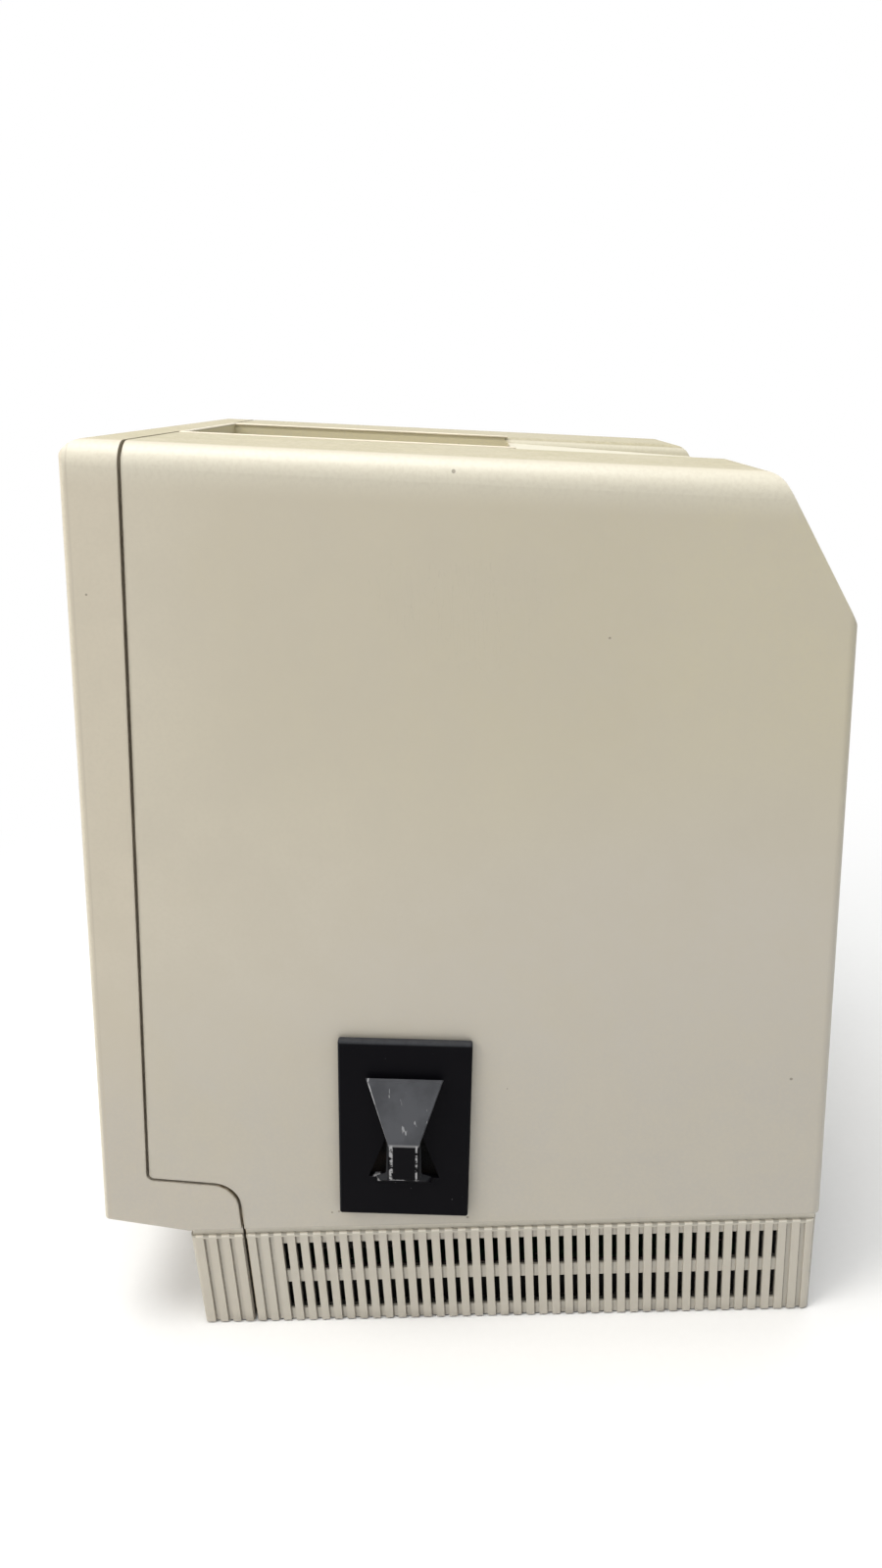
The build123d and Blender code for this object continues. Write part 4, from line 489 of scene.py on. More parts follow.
    def soil_base(self):
        """Dark brown painted shadow under the base's step and in one corner of each groove, darker rib faces and
        groove floors, painted light on the band above the ribs, painted highlights on the rib caps with painted shade
        between them, a darker band at the foot, and near-black painted shade inside, whose share it returns."""
        y, z, cloud, dirt_and_shadow = self.y, self.z, self.cloud, self.colours.dirt_and_shadow
        # Painted shadow: a patchy dark brown line along the base's step, under the overhang
        step = abs(z - BASE_TOP).rise(0.0006, 0.0001) * cloud.rise(0.30, 0.60)
        self.lay(dirt_and_shadow, step * 0.15)
        proud = self.side - (HALF_WIDTH - BASE_INSET - (BASE_TOP - z) * BASE_DRAFT)
        below = z.rise(BASE_TOP - 0.0003, BASE_TOP - 0.0008)
        self.shade(below * proud.rise(0.0001, 0.0004), 0.92, 0.935, 0.99)
        floors = below * proud.rise(0.00025, 0.0001) * proud.rise(-0.0006, -0.0002)
        floors = floors * z.rise(RIB_TOP + 0.0006, RIB_TOP)
        self.shade(floors, 0.92, 0.95, 1.03)
        # Painted light: the band between the rib tops and the step is laid paler and cooler against the overhang's
        # shadow
        self.shade(below * z.rise(RIB_TOP, RIB_TOP + 0.0004), 1.06, 1.09, 1.16)
        pitches = (y - SEAM_FOOT_Y - SEAM_GAP / 2) * (1 / RIB_PITCH) + 0.5
        across = (pitches.math("FLOORED_MODULO", 1.0) - 0.5) * RIB_PITCH
        # Painted shadow: a dark brown line in one corner of each groove, beside the rib
        corner = floors * across.near(-GROOVE_HALF, 0.0007) * z.rise(RIB_TOP + 0.0004, RIB_TOP)
        self.lay(dirt_and_shadow, corner * 0.55)
        # Painted highlight on the rib caps, and painted shade at the tops of the grooves between them
        caps = z.rise(RIB_TOP - 0.0011, RIB_TOP - 0.0005) * z.rise(RIB_TOP + 0.0005, RIB_TOP + 0.0002)
        rib = abs(across).rise(GROOVE_HALF - 0.0001, GROOVE_HALF + 0.0002)
        ends = self.blend(tint(self.base, 0.62, 0.63, 0.66), tint(self.base, 1.26, 1.30, 1.40), rib)
        self.lay(ends, caps * proud.rise(0.0001, 0.0003))
        # A darker, patchy brown band along the bottom
        self.lay(dirt_and_shadow, z.rise(0.006, 0.0005) * cloud.rise(0.35, 0.65) * 0.35)
        # Painted shade: the faces inside the base are laid near black
        inner = below * proud.rise(-0.0006, -0.0014) * z.rise(0.0016, 0.0022)
        inner = inner * y.rise(FOOT_Y + 0.0016, FOOT_Y + 0.0026) * y.rise(REAR_Y - 0.0036, REAR_Y - 0.0046)
        self.lay(self.colours.inner_shade, inner)
        return inner

    def fill_gap(self, gap):
        """Brown faces inside the seam, paler where it runs through the base."""
        gap_colour = self.colours.gap
        self.lay(self.blend(gap_colour, tint(gap_colour, 2.9), self.z.rise(0.060, 0.050)), gap)

    def mark(self):
        """Specks, the known marks and hairline scratches; returns the scratches."""
        spread = self.noise(self.coords, 260.0, 2.0)
        speck = (self.cells(self.coords, 34.0) + spread * 0.03).rise(0.050, 0.036)
        speck = speck * self.noise(self.coords, 11.0, 1.0).rise(0.58, 0.62)
        for mark_y, mark_z, radius in MARKS:
            reach = (self.y - mark_y).length(self.z - mark_z) + spread * radius
            speck = speck.most(reach.rise(radius * 1.5, radius * 1.1))
        self.lay(self.colours.dirt_and_shadow, speck * 0.60)
        lines = self.noise(self.stretch(self.coords, (1.0, 9.0, 0.9), (0.35, 0, 0)), 60.0, 2.0, 0.4)
        scratch = abs(lines - 0.5).rise(0.0035, 0.0012) * self.noise(self.coords, 9.0, 2.0).rise(0.60, 0.68)
        self.shade(scratch * 0.4, 0.75)
        return scratch


def aged_plastic(name, sizes, colours, warmth=(1.0, 1.0, 1.0)):
    """Beige moulding: yellowed smooth sides with painted shade below and behind, a coarse dusty top, a dirty seam,
    painted light on the well walls, painted highlights on the fillets, front edge and rib caps, painted shadow in the
    grooves and under the step, near-black painted shade inside, specks and scratches.
    """
    f = Moulding(name, sizes, colours, warmth)
    f.age_and_shade()
    flat, coarse = f.weather_top()
    gap = f.soil_seam()
    inner = f.soil_base()
    f.fill_gap(gap)
    scratch = f.mark()
    f.shade(f.noise(f.coords, 700.0, 2.0, 0.6).rise(0.60, 0.32) * 0.30, 0.92)
    grain = f.noise(f.coords, 1 / sizes.grain, 2.0, 0.55)
    f.set("Base Color", f.colour)
    f.set("Roughness", 0.36 + f.cloud * 0.06 + grain * 0.05 + (coarse + gap + inner) * 0.4)
    f.relief(grain * (flat * 2.5 + 0.6) + f.mottle * flat * 1.5 - scratch * 0.6, sizes.grain_height)
    return f.material


def black_plastic(name, colours):
    """Black moulding of the dock plate: fine scuffs, lit bevel, a grey painted reflection on the tab's head with a
    painted highlight along its left edge, rubbed silvery edges on the tab and dust specks.
    """
    f = Finish(name, colours.dock, 0.36)
    vector, x, y, z = f.place()
    wear = f.noise(vector, 420.0, 3.0, 0.6)
    cloud = f.noise(vector, 90.0, 3.0, 0.55)
    across = (y - DOCK_Y) * cos(DOCK_TILT) - (z - DOCK_Z) * sin(DOCK_TILT)
    up = (y - DOCK_Y) * sin(DOCK_TILT) + (z - DOCK_Z) * cos(DOCK_TILT)
    width = abs(across)
    proud = x.rise(DOCK_FACE_X, DOCK_FACE_X + 0.0004)
    # Grey painted reflection of the ceiling on the flared head, its darker sides, and a painted highlight along its
    # left edge, patchy with wear
    head = proud * up.rise(HEAD_LOW - 0.0001, HEAD_LOW + 0.0003)
    half = (up - HEAD_LOW) * HEAD_FLARE + HEAD_LOW_HALF
    f.lay(colours.tab, head * (cloud.rise(0.30, 0.70) * 0.30 + 0.72))
    f.lay(tint(colours.tab, 0.55), head * (width - half).rise(0.0003, 0.0006))
    f.lay(colours.worn, head * (across + half).near(0.0, 0.00035) * wear.rise(0.30, 0.45) * 0.9)
    # Ridge under the head, stem edges and ledge, rubbed through
    ridge = up.near(HEAD_LOW - 0.0002, 0.0007) * wear.rise(0.30, 0.42)
    f.lay(tint(colours.worn, 0.62), proud * ridge * 0.7)
    stem = proud * up.rise(HEAD_LOW + 0.0003, HEAD_LOW - 0.0005) * up.rise(STEM_FOOT - 0.0014, STEM_FOOT - 0.0006)
    edges = (across - STEM_LEFT).near(0.0, 0.0009) * wear.rise(0.42, 0.52)
    edges = edges.most((across - STEM_RIGHT).near(0.0, 0.0005) * wear.rise(0.44, 0.56))
    edges = edges.most(up.near(STEM_FOOT, 0.0005) * wear.rise(0.46, 0.56))
    ledge = up.near(LEDGE_UP, 0.0008) * across.near(LEDGE_ACROSS, 0.0028) * wear.rise(0.46, 0.56)
    f.lay(colours.worn, (stem * edges).most(ledge) * 0.85)
    f.lay(tint(colours.tab, 0.35), stem * (width - STEM_HALF).rise(0.0002, 0.0005))
    # Lit bevel along the top and a thin one on the left
    top_edge = (up - PLATE_TOP).rise(-0.0016, -0.0006)
    left_edge = (across - PLATE_LEFT).rise(0.0008, 0.0002)
    f.lay(tint(colours.tab, 0.55), top_edge.most(left_edge * 0.5) * (wear * 0.6 + 0.6))
    specks = f.cells(vector, 300.0).rise(0.07, 0.04) * f.noise(vector, 70.0, 1.0).rise(0.60, 0.68)
    scuff = f.noise(f.stretch(vector, (1.0, 2.0, 0.5), (0.5, 0, 0)), 260.0, 2.0).rise(0.68, 0.72) * head
    f.lay(colours.worn, (specks * 0.25).most(scuff * 0.6))
    f.set("Base Color", f.colour)
    f.set("Roughness", 0.34 + cloud * 0.16 + wear * 0.08)
    f.relief(wear, 0.00002)
    f.set("Specular IOR Level", 0.04)
    return f.material


def screen_glass(name):
    """Grey face glass over dark phosphor: smooth and faintly clouded, under a clear coating."""
    f = Finish(name, (0.045, 0.050, 0.046), 0.10)
    faint = f.noise(f.vector(), 26.0, 3.0, 0.5)
    f.set("Base Color", f.blend((0.040, 0.046, 0.042), (0.058, 0.064, 0.058), faint))
    f.set("Roughness", 0.08 + faint * 0.05)
    f.set("Coat Weight", 0.4)
    f.set("Coat Roughness", 0.04)
    return f.material


def sheet_metal(name, colour, rough, spangle, shade_top=0.0):
    """Plated or bare metal: cloudy spangle, fine rolling lines and stains; near-black painted shade below a height.
    """
    f = Finish(name, colour, rough, 1.0)
    vector, x, y, z = f.place()
    lines = f.noise(f.stretch(vector, (1.0, 0.06, 1.0)), 900.0, 2.0)
    stain = f.noise(vector, 30.0, 3.0, 0.6)
    f.lay(tint(colour, 1.18), f.cells(vector, spangle) * 0.6 + lines * 0.3)
    f.lay(tint(colour, 0.55), stain.rise(0.55, 0.80) * 0.5)
    dull = rough + lines * 0.12 + stain * 0.10
    # Painted shade: near black, dull and not metallic below the height
    if shade_top:
        painted_shade = z.rise(shade_top + 0.001, shade_top)
        f.lay(f.blend((0.010, 0.010, 0.010), (0.016, 0.015, 0.014), stain), painted_shade)
        f.set("Metallic", 1.0 - painted_shade)
        dull = dull + painted_shade * 0.4
    f.set("Base Color", f.colour)
    f.set("Roughness", dull)
    f.relief(lines, 0.00002)
    return f.material


def plain_plastic(name, colour, rough, grain=1500.0, height=0.00002):
    """Small moulded piece: fine grain and a slow change of tone."""
    f = Finish(name, colour, rough)
    vector = f.vector()
    fine = f.noise(vector, grain, 2.0, 0.5)
    slow = f.noise(vector, 45.0, 3.0, 0.55)
    f.set("Base Color", f.blend(colour, tint(colour, 0.78), slow.rise(0.40, 0.75) * 0.6))
    f.set("Roughness", rough + fine * 0.10 + slow * 0.06)
    f.relief(fine, height)
    return f.material


def board(name, colour, track):
    """Circuit board: tracks under the coating and a scatter of solder points."""
    f = Finish(name, colour, 0.35)
    vector = f.vector()
    settings = {"wave_type": "BANDS", "bands_direction": "DIAGONAL"}
    wave = f.node(
        "ShaderNodeTexWave", settings, Vector=vector, Scale=95.0, Distortion=5.0, Detail=1.0, Detail_Scale=0.6
    )
    tracks = wave.rise(0.60, 0.72)
    pads = f.cells(vector, 330.0).rise(0.20, 0.12) * f.noise(vector, 60.0, 1.0).rise(0.45, 0.55)
    f.lay(track, tracks * 0.7)
    f.lay((0.45, 0.44, 0.42), pads)
    f.set("Base Color", f.colour)
    f.set("Metallic", pads * 0.8)
    f.set("Roughness", 0.30 + wave * 0.10)
    f.relief(tracks + pads, 0.00004)
    return f.material


def port_moulding(name):
    """Rear connectors: black mouldings, and bright metal shells round black inserts on the long ones."""
    f = Finish(name, (0.016, 0.016, 0.017), 0.42)
    vector, x, y, z = f.place()
    cloud = f.noise(vector, 140.0, 3.0, 0.6)
    fine = f.noise(vector, 1400.0, 2.0, 0.5)
    shell = y.rise(PORT_BLOCK_Y + 0.00005, PORT_BLOCK_Y + 0.00012)
    for middle, half in INSERTS:
        insert = (abs(x - middle) - half).both(abs(z - LONG_LEVEL) - INSERT_HALF, 0.0008)
        shell = shell * insert.rise(-0.0002, 0.0)
    f.lay((0.028, 0.027, 0.026), cloud)
    f.lay(f.blend((0.42, 0.42, 0.41), (0.30, 0.29, 0.27), cloud.rise(0.35, 0.70)), shell)
    f.set("Base Color", f.colour)
    f.set("Metallic", shell)
    f.set("Roughness", 0.34 + cloud * 0.12 + fine * 0.06)
    f.relief(fine, 0.00001)
    return f.material


def inlet_moulding(name):
    """Mains inlet: black moulding with three dull silver blades."""
    f = Finish(name, (0.018, 0.018, 0.019), 0.4)
    vector, x, y, z = f.place()
    cloud = f.noise(vector, 140.0, 3.0, 0.6)
    fine = f.noise(vector, 1400.0, 2.0, 0.5)
    reaches = [(abs(x - across) - BLADE_WIDE).most(abs(z - up) - BLADE_TALL) for across, up in BLADES]
    blade = reduce(Value.least, reaches).rise(0.00006, 0.00002)
    blade = blade * y.rise(INLET_FLOOR_Y + 0.0001, INLET_FLOOR_Y + 0.0002)
    f.lay((0.026, 0.026, 0.026), cloud)
    f.lay(f.blend((0.62, 0.60, 0.56), (0.46, 0.44, 0.40), cloud.rise(0.35, 0.70)), blade)
    f.set("Base Color", f.colour)
    f.set("Metallic", blade)
    f.set("Roughness", 0.36 + cloud * 0.10 + fine * 0.06)
    f.relief(fine, 0.00002)
    return f.material


def cable(name, colour, pitch, axis):
    """Flat or bundled cable or winding: parallel wires across one axis, darker between them as painted shade."""
    f = Finish(name, colour, 0.5)
    along = f.place()[1 + axis]
    strand = abs((along * (1 / pitch)).math("FRACT") - 0.5) * 2.0
    # Painted shade: darker in the creases between the wires
    f.set("Base Color", f.blend(tint(colour, 0.45), colour, strand.rise(0.05, 0.45)))
    f.set("Roughness", 0.45 + strand * 0.1)
    f.relief(1.0 - strand, pitch * 0.3)
    return f.material


def foam_tape(name):
    """Black adhesive foam: open cells and brown stains of glue."""
    f = Finish(name, (0.004, 0.004, 0.004), 0.9)
    vector = f.vector()
    cells = f.cells(vector, 1700.0)
    stain = f.noise(vector, 120.0, 3.0, 0.6)
    f.set("Base Color", f.blend((0.003, 0.003, 0.003), (0.010, 0.007, 0.005), stain.rise(0.40, 0.72)))
    f.set("Roughness", 0.7 + cells * 0.2)
    f.relief(cells, 0.0002)
    f.set("Specular IOR Level", 0.1)
    return f.material


def dress(nodes, material):
    """Gives CAD nodes one material in every slot."""
    for name in nodes:
        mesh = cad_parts[name].data
        mesh.materials.clear()
        mesh.materials.append(material)


def lattice(copies, rings, around):
    """Faces of tubes that run ring to ring, point (ring, j) to (ring, j + 1), with both ends of each tube capped."""
    tube, ring, j = np.meshgrid(np.arange(copies), np.arange(rings - 1), np.arange(around), indexing="ij")
    start = (tube * rings + ring) * around
    k = (j + 1) % around
    walls = np.stack([start + j, start + k, start + around + k, start + around + j], axis=-1).reshape(-1, 4)
    first = np.arange(copies)[:, None] * rings * around + np.arange(around)
    last = first + (rings - 1) * around
    return walls.tolist() + first[:, ::-1].tolist() + last.tolist()


def turned(name, seats, profile, around, body, material, lean=0.0):
    """Turned pieces along Y, tipped down by a lean: at angle t a profile point (r, h, a) lies h along the axis and
    r (1 + a cos 6t) from it."""
    r, h, a = (np.array(column)[:, None] for column in zip(*profile))
    t = np.linspace(0, 2 * pi, around, endpoint=False)[None, :]
    reach = r * (1 + a * np.cos(6 * t))
    x, y, z = np.broadcast_arrays(reach * np.cos(t), h, -reach * np.sin(t))
    shape = np.stack([x, y * cos(lean) + z * sin(lean), z * cos(lean) - y * sin(lean)], axis=-1)
    points = np.asarray(seats)[:, None, None, :] + shape[None]
    faces = lattice(len(seats), len(profile), around)
    return mesh_piece(name, points.reshape(-1, 3), faces, body, material)


def bead(path, wide, tall, around):
    """Points of an ellipse carried along a path on the sloping top: w cos t across the path and h sin t above it."""
    along = np.gradient(path, axis=0)
    along = along / np.linalg.norm(along, axis=1, keepdims=True)
    t = np.linspace(0, 2 * pi, around, endpoint=False)[None, :]
    x = CASE_X + path[:, :1] - along[:, 1:] * wide * np.cos(t)
    y = path[:, 1:] + along[:, :1] * wide * np.cos(t)
    z = CROWN_Z - (y - CROWN_Y) * TOP_SLOPE + tall * np.sin(t)
    return np.stack([x, y, z], axis=-1).reshape(-1, 3)


def mesh_piece(name, points, faces, body, material):
    """Object from points and faces, riding on a body, with a material."""
    mesh = bpy.data.meshes.new(name)
    mesh.from_pydata(np.asarray(points).tolist(), [], faces)
    mesh.validate()
    mesh.shade_smooth()
    mesh.set_sharp_from_angle(angle=radians(40))
    mesh.materials.append(material)
    piece = bpy.data.objects.new(name, mesh)
    bpy.context.scene.collection.objects.link(piece)
    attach(piece, body)
    return piece


class COMPUTER_OT_camera(bpy.types.Operator):
    """Camera at the photograph's place, turn, tip and roll"""

    bl_idname = "computer.camera"
    bl_label = "Camera"

    def execute(self, context):
        v = context.scene.computer_view
        ahead = Vector((-cos(v.tip) * cos(v.turn), cos(v.tip) * sin(v.turn), -sin(v.tip)))
        level = Vector((sin(v.turn), cos(v.turn), 0))
        down = ahead.cross(level)
        right = cos(v.roll) * level + sin(v.roll) * down
        below = -sin(v.roll) * level + cos(v.roll) * down
        data = bpy.data.cameras.new("photo_camera")
        data.sensor_fit = "VERTICAL"
        data.sensor_height = 36.0
        data.lens = v.lens
        data.clip_start = 0.01
        camera = bpy.data.objects.new("photo_camera", data)
        context.scene.collection.objects.link(camera)
        stand = Matrix((right, -below, -ahead)).transposed().to_4x4()
        stand.translation = Vector(v.place)
        camera.matrix_world = stand
        context.scene.camera = camera
        return {"FINISHED"}


class COMPUTER_OT_stage(bpy.types.Operator):
    """Pale floor, plain soft lamps and a white surround"""

    bl_idname = "computer.stage"
    bl_label = "Floor and Lamps"

    def execute(self, context):
        scene = context.scene
        mesh = bpy.data.meshes.new("floor")
        r = FLOOR_REACH
        mesh.from_pydata([(-r, -r, 0), (r, -r, 0), (r, r, 0), (-r, r, 0)], [], [(0, 1, 2, 3)])
        floor = bpy.data.objects.new("floor", mesh)
        scene.collection.objects.link(floor)
        pale = tuple(scene.computer_colours.floor)
        f = Finish("floor_paper", pale, 0.9)
        vector = f.vector()
        f.set("Base Color", f.blend(pale, tint(pale, 0.97), f.noise(vector, 300.0, 3.0, 0.6)))
        f.set("Specular IOR Level", 0.0)
        # Fades to white away from the computer, so that no horizon shows
        distance = f.node("ShaderNodeVectorMath", {"operation": "LENGTH"}, vector, out=1)
        white = f.node("ShaderNodeEmission", {}, (1, 1, 1), 1.0)
        paper = Value(f, f.shader.outputs[0])
        f.surface(distance.rise(0.28, 0.62) * f.seen(), paper, white, "Material Output")
        mesh.materials.append(f.material)

        scene.world = bpy.data.worlds.new("studio")
        scene.world.use_nodes = True
        studio = Nodes(scene.world.node_tree)
        plain = studio.node("ShaderNodeBackground", {}, (0.96, 0.98, 1.0), 0.46)
        white = studio.node("ShaderNodeBackground", {}, (1, 1, 1), 1.0)
        studio.surface(studio.seen(), plain, white, "World Output")

        for name, place, size, power, colour in LAMPS:
            lamp = bpy.data.lights.new(name, "AREA")
            lamp.shape = "DISK"
            lamp.size = size
            lamp.energy = power
            lamp.color = colour
            holder = bpy.data.objects.new(name, lamp)
            scene.collection.objects.link(holder)
            holder.location = place
            holder.rotation_euler = (LAMP_AIM - Vector(place)).to_track_quat("-Z", "Y").to_euler()
        scene.view_settings.view_transform = "Standard"
        return {"FINISHED"}


class COMPUTER_OT_case(bpy.types.Operator):
    """Aged beige finish of the two mouldings, the rear cover and the wheel"""

    bl_idname = "computer.case"
    bl_label = "Case Finish"

    def execute(self, context):
        scene = context.scene
        bezel = aged_plastic("bezel_beige", scene.computer_sizes, scene.computer_colours, (1.01, 1.0, 0.99))
        shell = aged_plastic("case_beige", scene.computer_sizes, scene.computer_colours)
        dress(["front_bezel", "brightness_wheel"], bezel)
        dress(["rear_case", "expansion_cover"], shell)
        return {"FINISHED"}


class COMPUTER_OT_dock(bpy.types.Operator):
    """Black dock plate with rubbed edges, and the tape behind it"""

    bl_idname = "computer.dock"
    bl_label = "Dock Plate Finish"

    def execute(self, context):
        dress(["dock_plate"], black_plastic("dock_black", context.scene.computer_colours))
        dress(["dock_pad"], foam_tape("dock_tape"))
        return {"FINISHED"}


class COMPUTER_OT_screen(bpy.types.Operator):
    """Dark glass of the picture tube and the red lens of the drive light"""

    bl_idname = "computer.screen"
    bl_label = "Screen Finish"

    def execute(self, context):
        dress(["picture_tube"], screen_glass("screen_glass"))
        dress(["drive_light"], plain_plastic("red_lens", (0.28, 0.012, 0.010), 0.15))
        return {"FINISHED"}


class COMPUTER_OT_fittings(bpy.types.Operator):
    """Finishes of the inlet, switch, fan, metal parts and feet"""

    bl_idname = "computer.fittings"
    bl_label = "Fittings Finish"

    def execute(self, context):
        black = plain_plastic("fitting_black", (0.018, 0.018, 0.019), 0.38)
        grey = plain_plastic("fitting_grey", (0.13, 0.13, 0.13), 0.42)
        light = plain_plastic("fitting_light", (0.58, 0.56, 0.50), 0.45)
        steel = sheet_metal("turned_steel", (0.52, 0.52, 0.51), 0.30, 500.0)
        zinc = sheet_metal("zinc_sheet", (0.44, 0.45, 0.45), 0.38, 120.0)
        # The chassis is laid near black low down, as painted shade seen through the base slots
        shaded_chassis = sheet_metal("chassis_sheet", (0.44, 0.45, 0.45), 0.38, 120.0, PAINTED_SHADE_TOP)
        rubber = plain_plastic("foot_rubber", (0.022, 0.022, 0.022), 0.72, 900.0, 0.00006)
        dress(["power_inlet"], inlet_moulding("inlet_moulding"))
        dress(["rocker_frame", "power_rocker", "fan_frame", "board_headers", "battery_holder"], black)
        dress(["fan_rotor", "brightness_control"], grey)
        dress(["memory_sockets", "board_spacers", "battery"], light)
        dress(["case_screws", "tube_screws", "floppy_spindle", "lead_screw", "stepper_motor"], steel)
        dress(["chassis"], shaded_chassis)
        dress(["drive_bracket", "port_shield", "power_supply", "floppy_drive", "rim_band"], zinc)
        dress(["rubber_feet", "anode_cup"], rubber)
        return {"FINISHED"}


class COMPUTER_OT_inner(bpy.types.Operator):
    """Finishes of the boards, drives, windings and cables inside"""

    bl_idname = "computer.inner"
    bl_label = "Inner Finish"

    def execute(self, context):
        green = board("board_green", (0.012, 0.085, 0.035), (0.030, 0.150, 0.060))
        tan_board = board("board_tan", (0.26, 0.16, 0.07), (0.36, 0.24, 0.12))
        chip = plain_plastic("chip_black", (0.02, 0.02, 0.021), 0.4)
        alloy = sheet_metal("cast_alloy", (0.40, 0.40, 0.41), 0.42, 260.0)
        dress(["logic_board", "hard_drive_board", "memory_modules"], green)
        dress(["analog_board", "neck_board"], tan_board)
        dress(["processor", "logic_chips", "flyback", "speaker"], chip)
        dress(["deflection_yoke"], cable("yoke_winding", (0.36, 0.12, 0.04), 0.0009, 1))
        dress(["capacitors"], plain_plastic("can_sleeve", (0.02, 0.035, 0.11), 0.25))
        dress(["heat_sink", "hard_drive", "head_carriage"], alloy)
        dress(["floppy_ribbon", "drive_ribbon"], cable("ribbon_grey", (0.42, 0.42, 0.43), 0.00127, 0))
        dress(["power_harness"], cable("bundle_grey", (0.30, 0.30, 0.31), 0.0022, 0))
        dress(["anode_lead"], plain_plastic("lead_red", (0.28, 0.015, 0.012), 0.35))
        return {"FINISHED"}


class COMPUTER_OT_screws(bpy.types.Operator):
    """Case screws with chamfered heads and six-lobed recesses"""

    bl_idname = "computer.screws"
    bl_label = "Case Screws"

    def execute(self, context):
        sizes = context.scene.computer_sizes
        head, shank, recess = sizes.screw_head, sizes.screw_shank, sizes.screw_recess
        profile = (
            (shank * 0.7, SCREW_TIP, 0.0),
            (shank, SCREW_TAPER, 0.0),
            (shank, 0.0, 0.0),
            (head, 0.0, 0.0),
            (head, HEAD_RIM, 0.0),
            (head * 0.84, HEAD_TOP, 0.0),
            (recess * 1.06, HEAD_TOP, RECESS_LOBES),
            (recess, RECESS_LIP, RECESS_LOBES),
            (recess * 0.94, RECESS_WALL, RECESS_LOBES),
            (recess * 0.30, RECESS_FLOOR, 0.0),
        )
        steel = sheet_metal("screw_zinc", (0.30, 0.30, 0.29), 0.36, 700.0)
        rear = [(CASE_X + across, SCREW_REAR_Y, SCREW_REAR_Z) for across in (-SCREW_REAR_X, SCREW_REAR_X)]
        well = [(CASE_X + across, SCREW_WELL_Y, SCREW_WELL_Z) for across in (-SCREW_WELL_X, SCREW_WELL_X)]
        for name, seats, lean in (("rear_screws", rear, 0.0), ("well_screws", well, LEAN)):
            piece = turned(name, seats, profile, 48, "case", steel, lean)
            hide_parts("case_screws")
        return {"FINISHED"}


class COMPUTER_OT_ports(bpy.types.Operator):
    """Rear connectors: black mouldings in metal shells, with rows of contact sleeves and near-black discs in their
    bores as painted shade
    """

    bl_idname = "computer.ports"
    bl_label = "Rear Connectors"

    def execute(self, context):
        radius = context.scene.computer_sizes.pin_radius
        dress(["rear_connectors"], port_moulding("port_moulding"))
        seats = []
        for middle, level, face, rows in PORTS:
            for count, pitch, rise in rows:
                along = middle + (np.arange(count) - (count - 1) / 2) * pitch
                seats.append(np.stack([along, np.full(count, face), np.full(count, level + rise)], axis=-1))
        seats = np.concatenate(seats)
        sleeve = (
            (radius, -0.0001, 0.0),
            (radius, 0.00022, 0.0),
            (radius * 0.9, 0.00030, 0.0),
            (radius * 0.66, 0.00030, 0.0),
            (radius * 0.60, 0.00012, 0.0),
        )
        # Near-black discs down in the sleeves: painted shade in the bores
        bore = ((radius * 0.62, 0.00005, 0.0), (radius * 0.60, 0.00020, 0.0))
        gold = sheet_metal("contact_gold", (0.62, 0.43, 0.16), 0.28, 900.0)
        dark = plain_plastic("contact_bore_shade", (0.004, 0.004, 0.004), 0.7)
        turned("contact_sleeves", seats, sleeve, 16, "case", gold)
        turned("contact_bore_shades", seats, bore, 12, "case", dark)
        return {"FINISHED"}


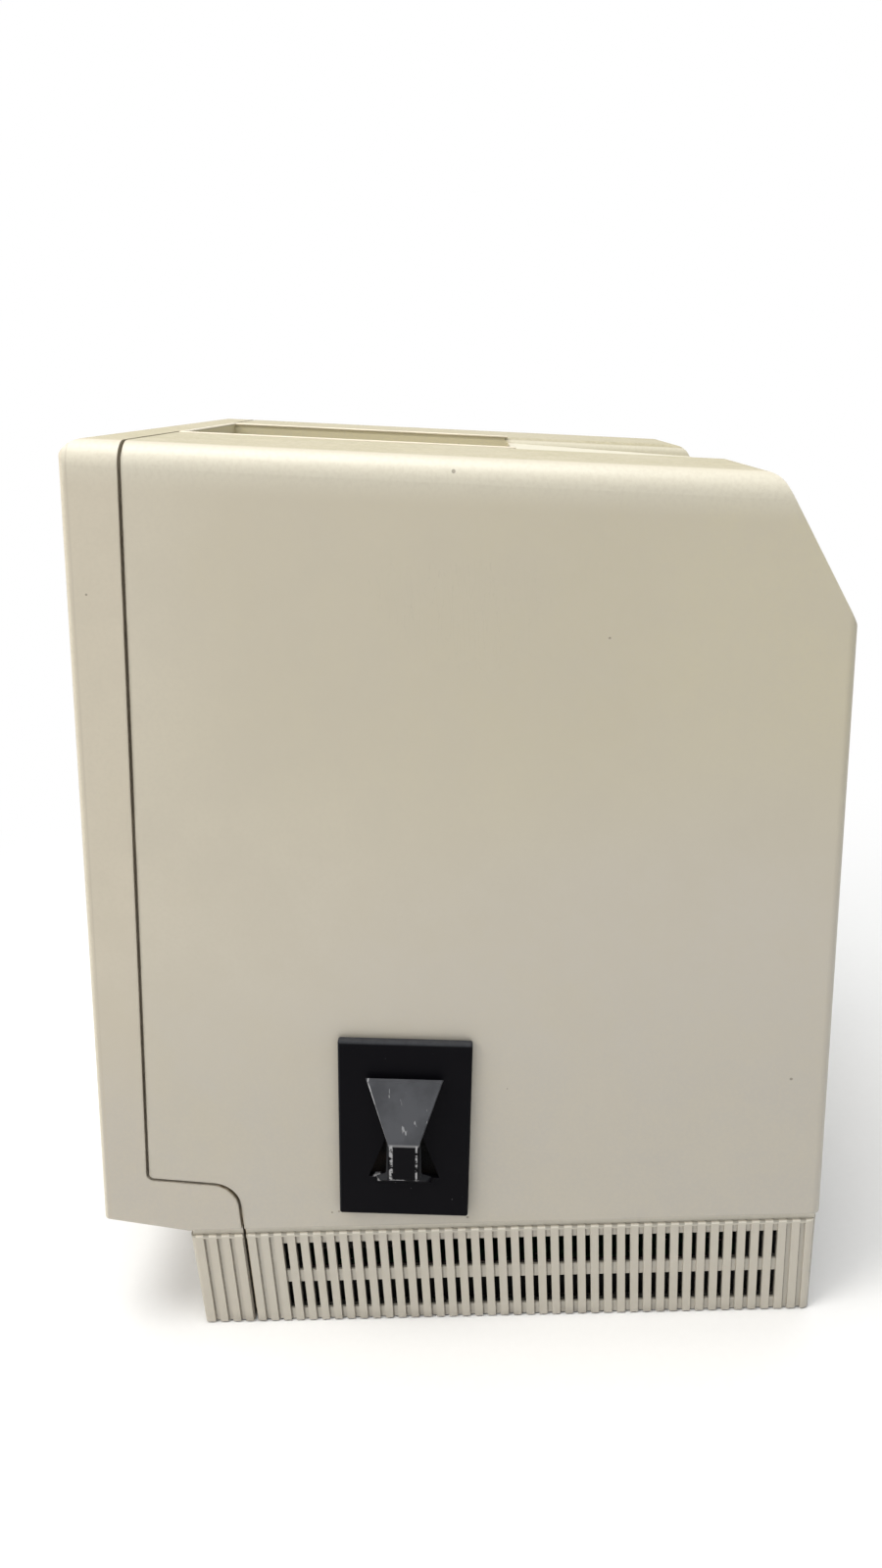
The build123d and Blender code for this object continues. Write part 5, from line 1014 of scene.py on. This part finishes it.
class COMPUTER_OT_rim(bpy.types.Operator):
    """Rounded bead along the sides and the front of the handle well, laid paler than the case as a painted highlight
    """

    bl_idname = "computer.rim"
    bl_label = "Well Rim"

    def execute(self, context):
        # The path is a U round the well: straight legs at its sides, joined along its front by quarter circles
        scene = context.scene
        wide = scene.computer_sizes.rim_width / 2
        half = WELL_HALF + wide + 0.0001
        front = WELL_FRONT_Y - wide - 0.0001
        radius = 0.0015
        leg_points, turn_points, around = 12, 7, 14
        turn = np.linspace(0, pi / 2, turn_points)
        corner = np.stack([half - radius + radius * np.cos(turn), front + radius - radius * np.sin(turn)], axis=-1)
        depth = np.linspace(RIDGE_Y - 0.0006, front + radius + 0.001, leg_points)
        leg = np.stack([np.full(leg_points, half), depth], axis=-1)
        right = np.concatenate([leg, corner])
        path = np.concatenate([right, right[::-1] * (-1, 1)])
        points = bead(path, wide, scene.computer_sizes.rim_height, around)
        # Painted highlight: the bead is laid paler than the case
        rim_highlight = plain_plastic("rim_highlight_cream", tint(scene.computer_colours.case, 1.22), 0.4)
        mesh_piece("well_rim", points, lattice(1, len(path), around), "case", rim_highlight)
        return {"FINISHED"}


class VIEW3D_PT_computer(bpy.types.Panel):
    """Lists the steps that dress the computer, and their sizes and colours"""

    bl_label = "Compact Computer"
    bl_idname = "VIEW3D_PT_computer"
    bl_space_type = "VIEW_3D"
    bl_region_type = "UI"
    bl_category = "Computer"

    def draw(self, context):
        layout = self.layout
        for step in STEPS:
            layout.operator(step.bl_idname)
        for name, group in GROUPS.items():
            box = layout.box()
            for key in group.__annotations__:
                box.prop(getattr(context.scene, name), key)


GROUPS = {"computer_sizes": Sizes, "computer_colours": Colours, "computer_view": View}
STEPS = (
    COMPUTER_OT_camera,
    COMPUTER_OT_stage,
    COMPUTER_OT_case,
    COMPUTER_OT_dock,
    COMPUTER_OT_screen,
    COMPUTER_OT_fittings,
    COMPUTER_OT_inner,
    COMPUTER_OT_screws,
    COMPUTER_OT_ports,
    COMPUTER_OT_rim,
)


def register():
    """Registers the property groups, the operators and the panel."""
    for name, group in GROUPS.items():
        bpy.utils.register_class(group)
        setattr(bpy.types.Scene, name, bpy.props.PointerProperty(type=group))
    for step in (*STEPS, VIEW3D_PT_computer):
        bpy.utils.register_class(step)


def unregister():
    """Takes out what register put in, last first."""
    for step in (VIEW3D_PT_computer, *reversed(STEPS)):
        bpy.utils.unregister_class(step)
    for name, group in reversed(GROUPS.items()):
        delattr(bpy.types.Scene, name)
        bpy.utils.unregister_class(group)


def main():
    """Dresses the computer step by step."""
    register()
    for step in STEPS:
        group, name = step.bl_idname.split(".")
        getattr(getattr(bpy.ops, group), name)()


if __name__ == "__main__":
    main()
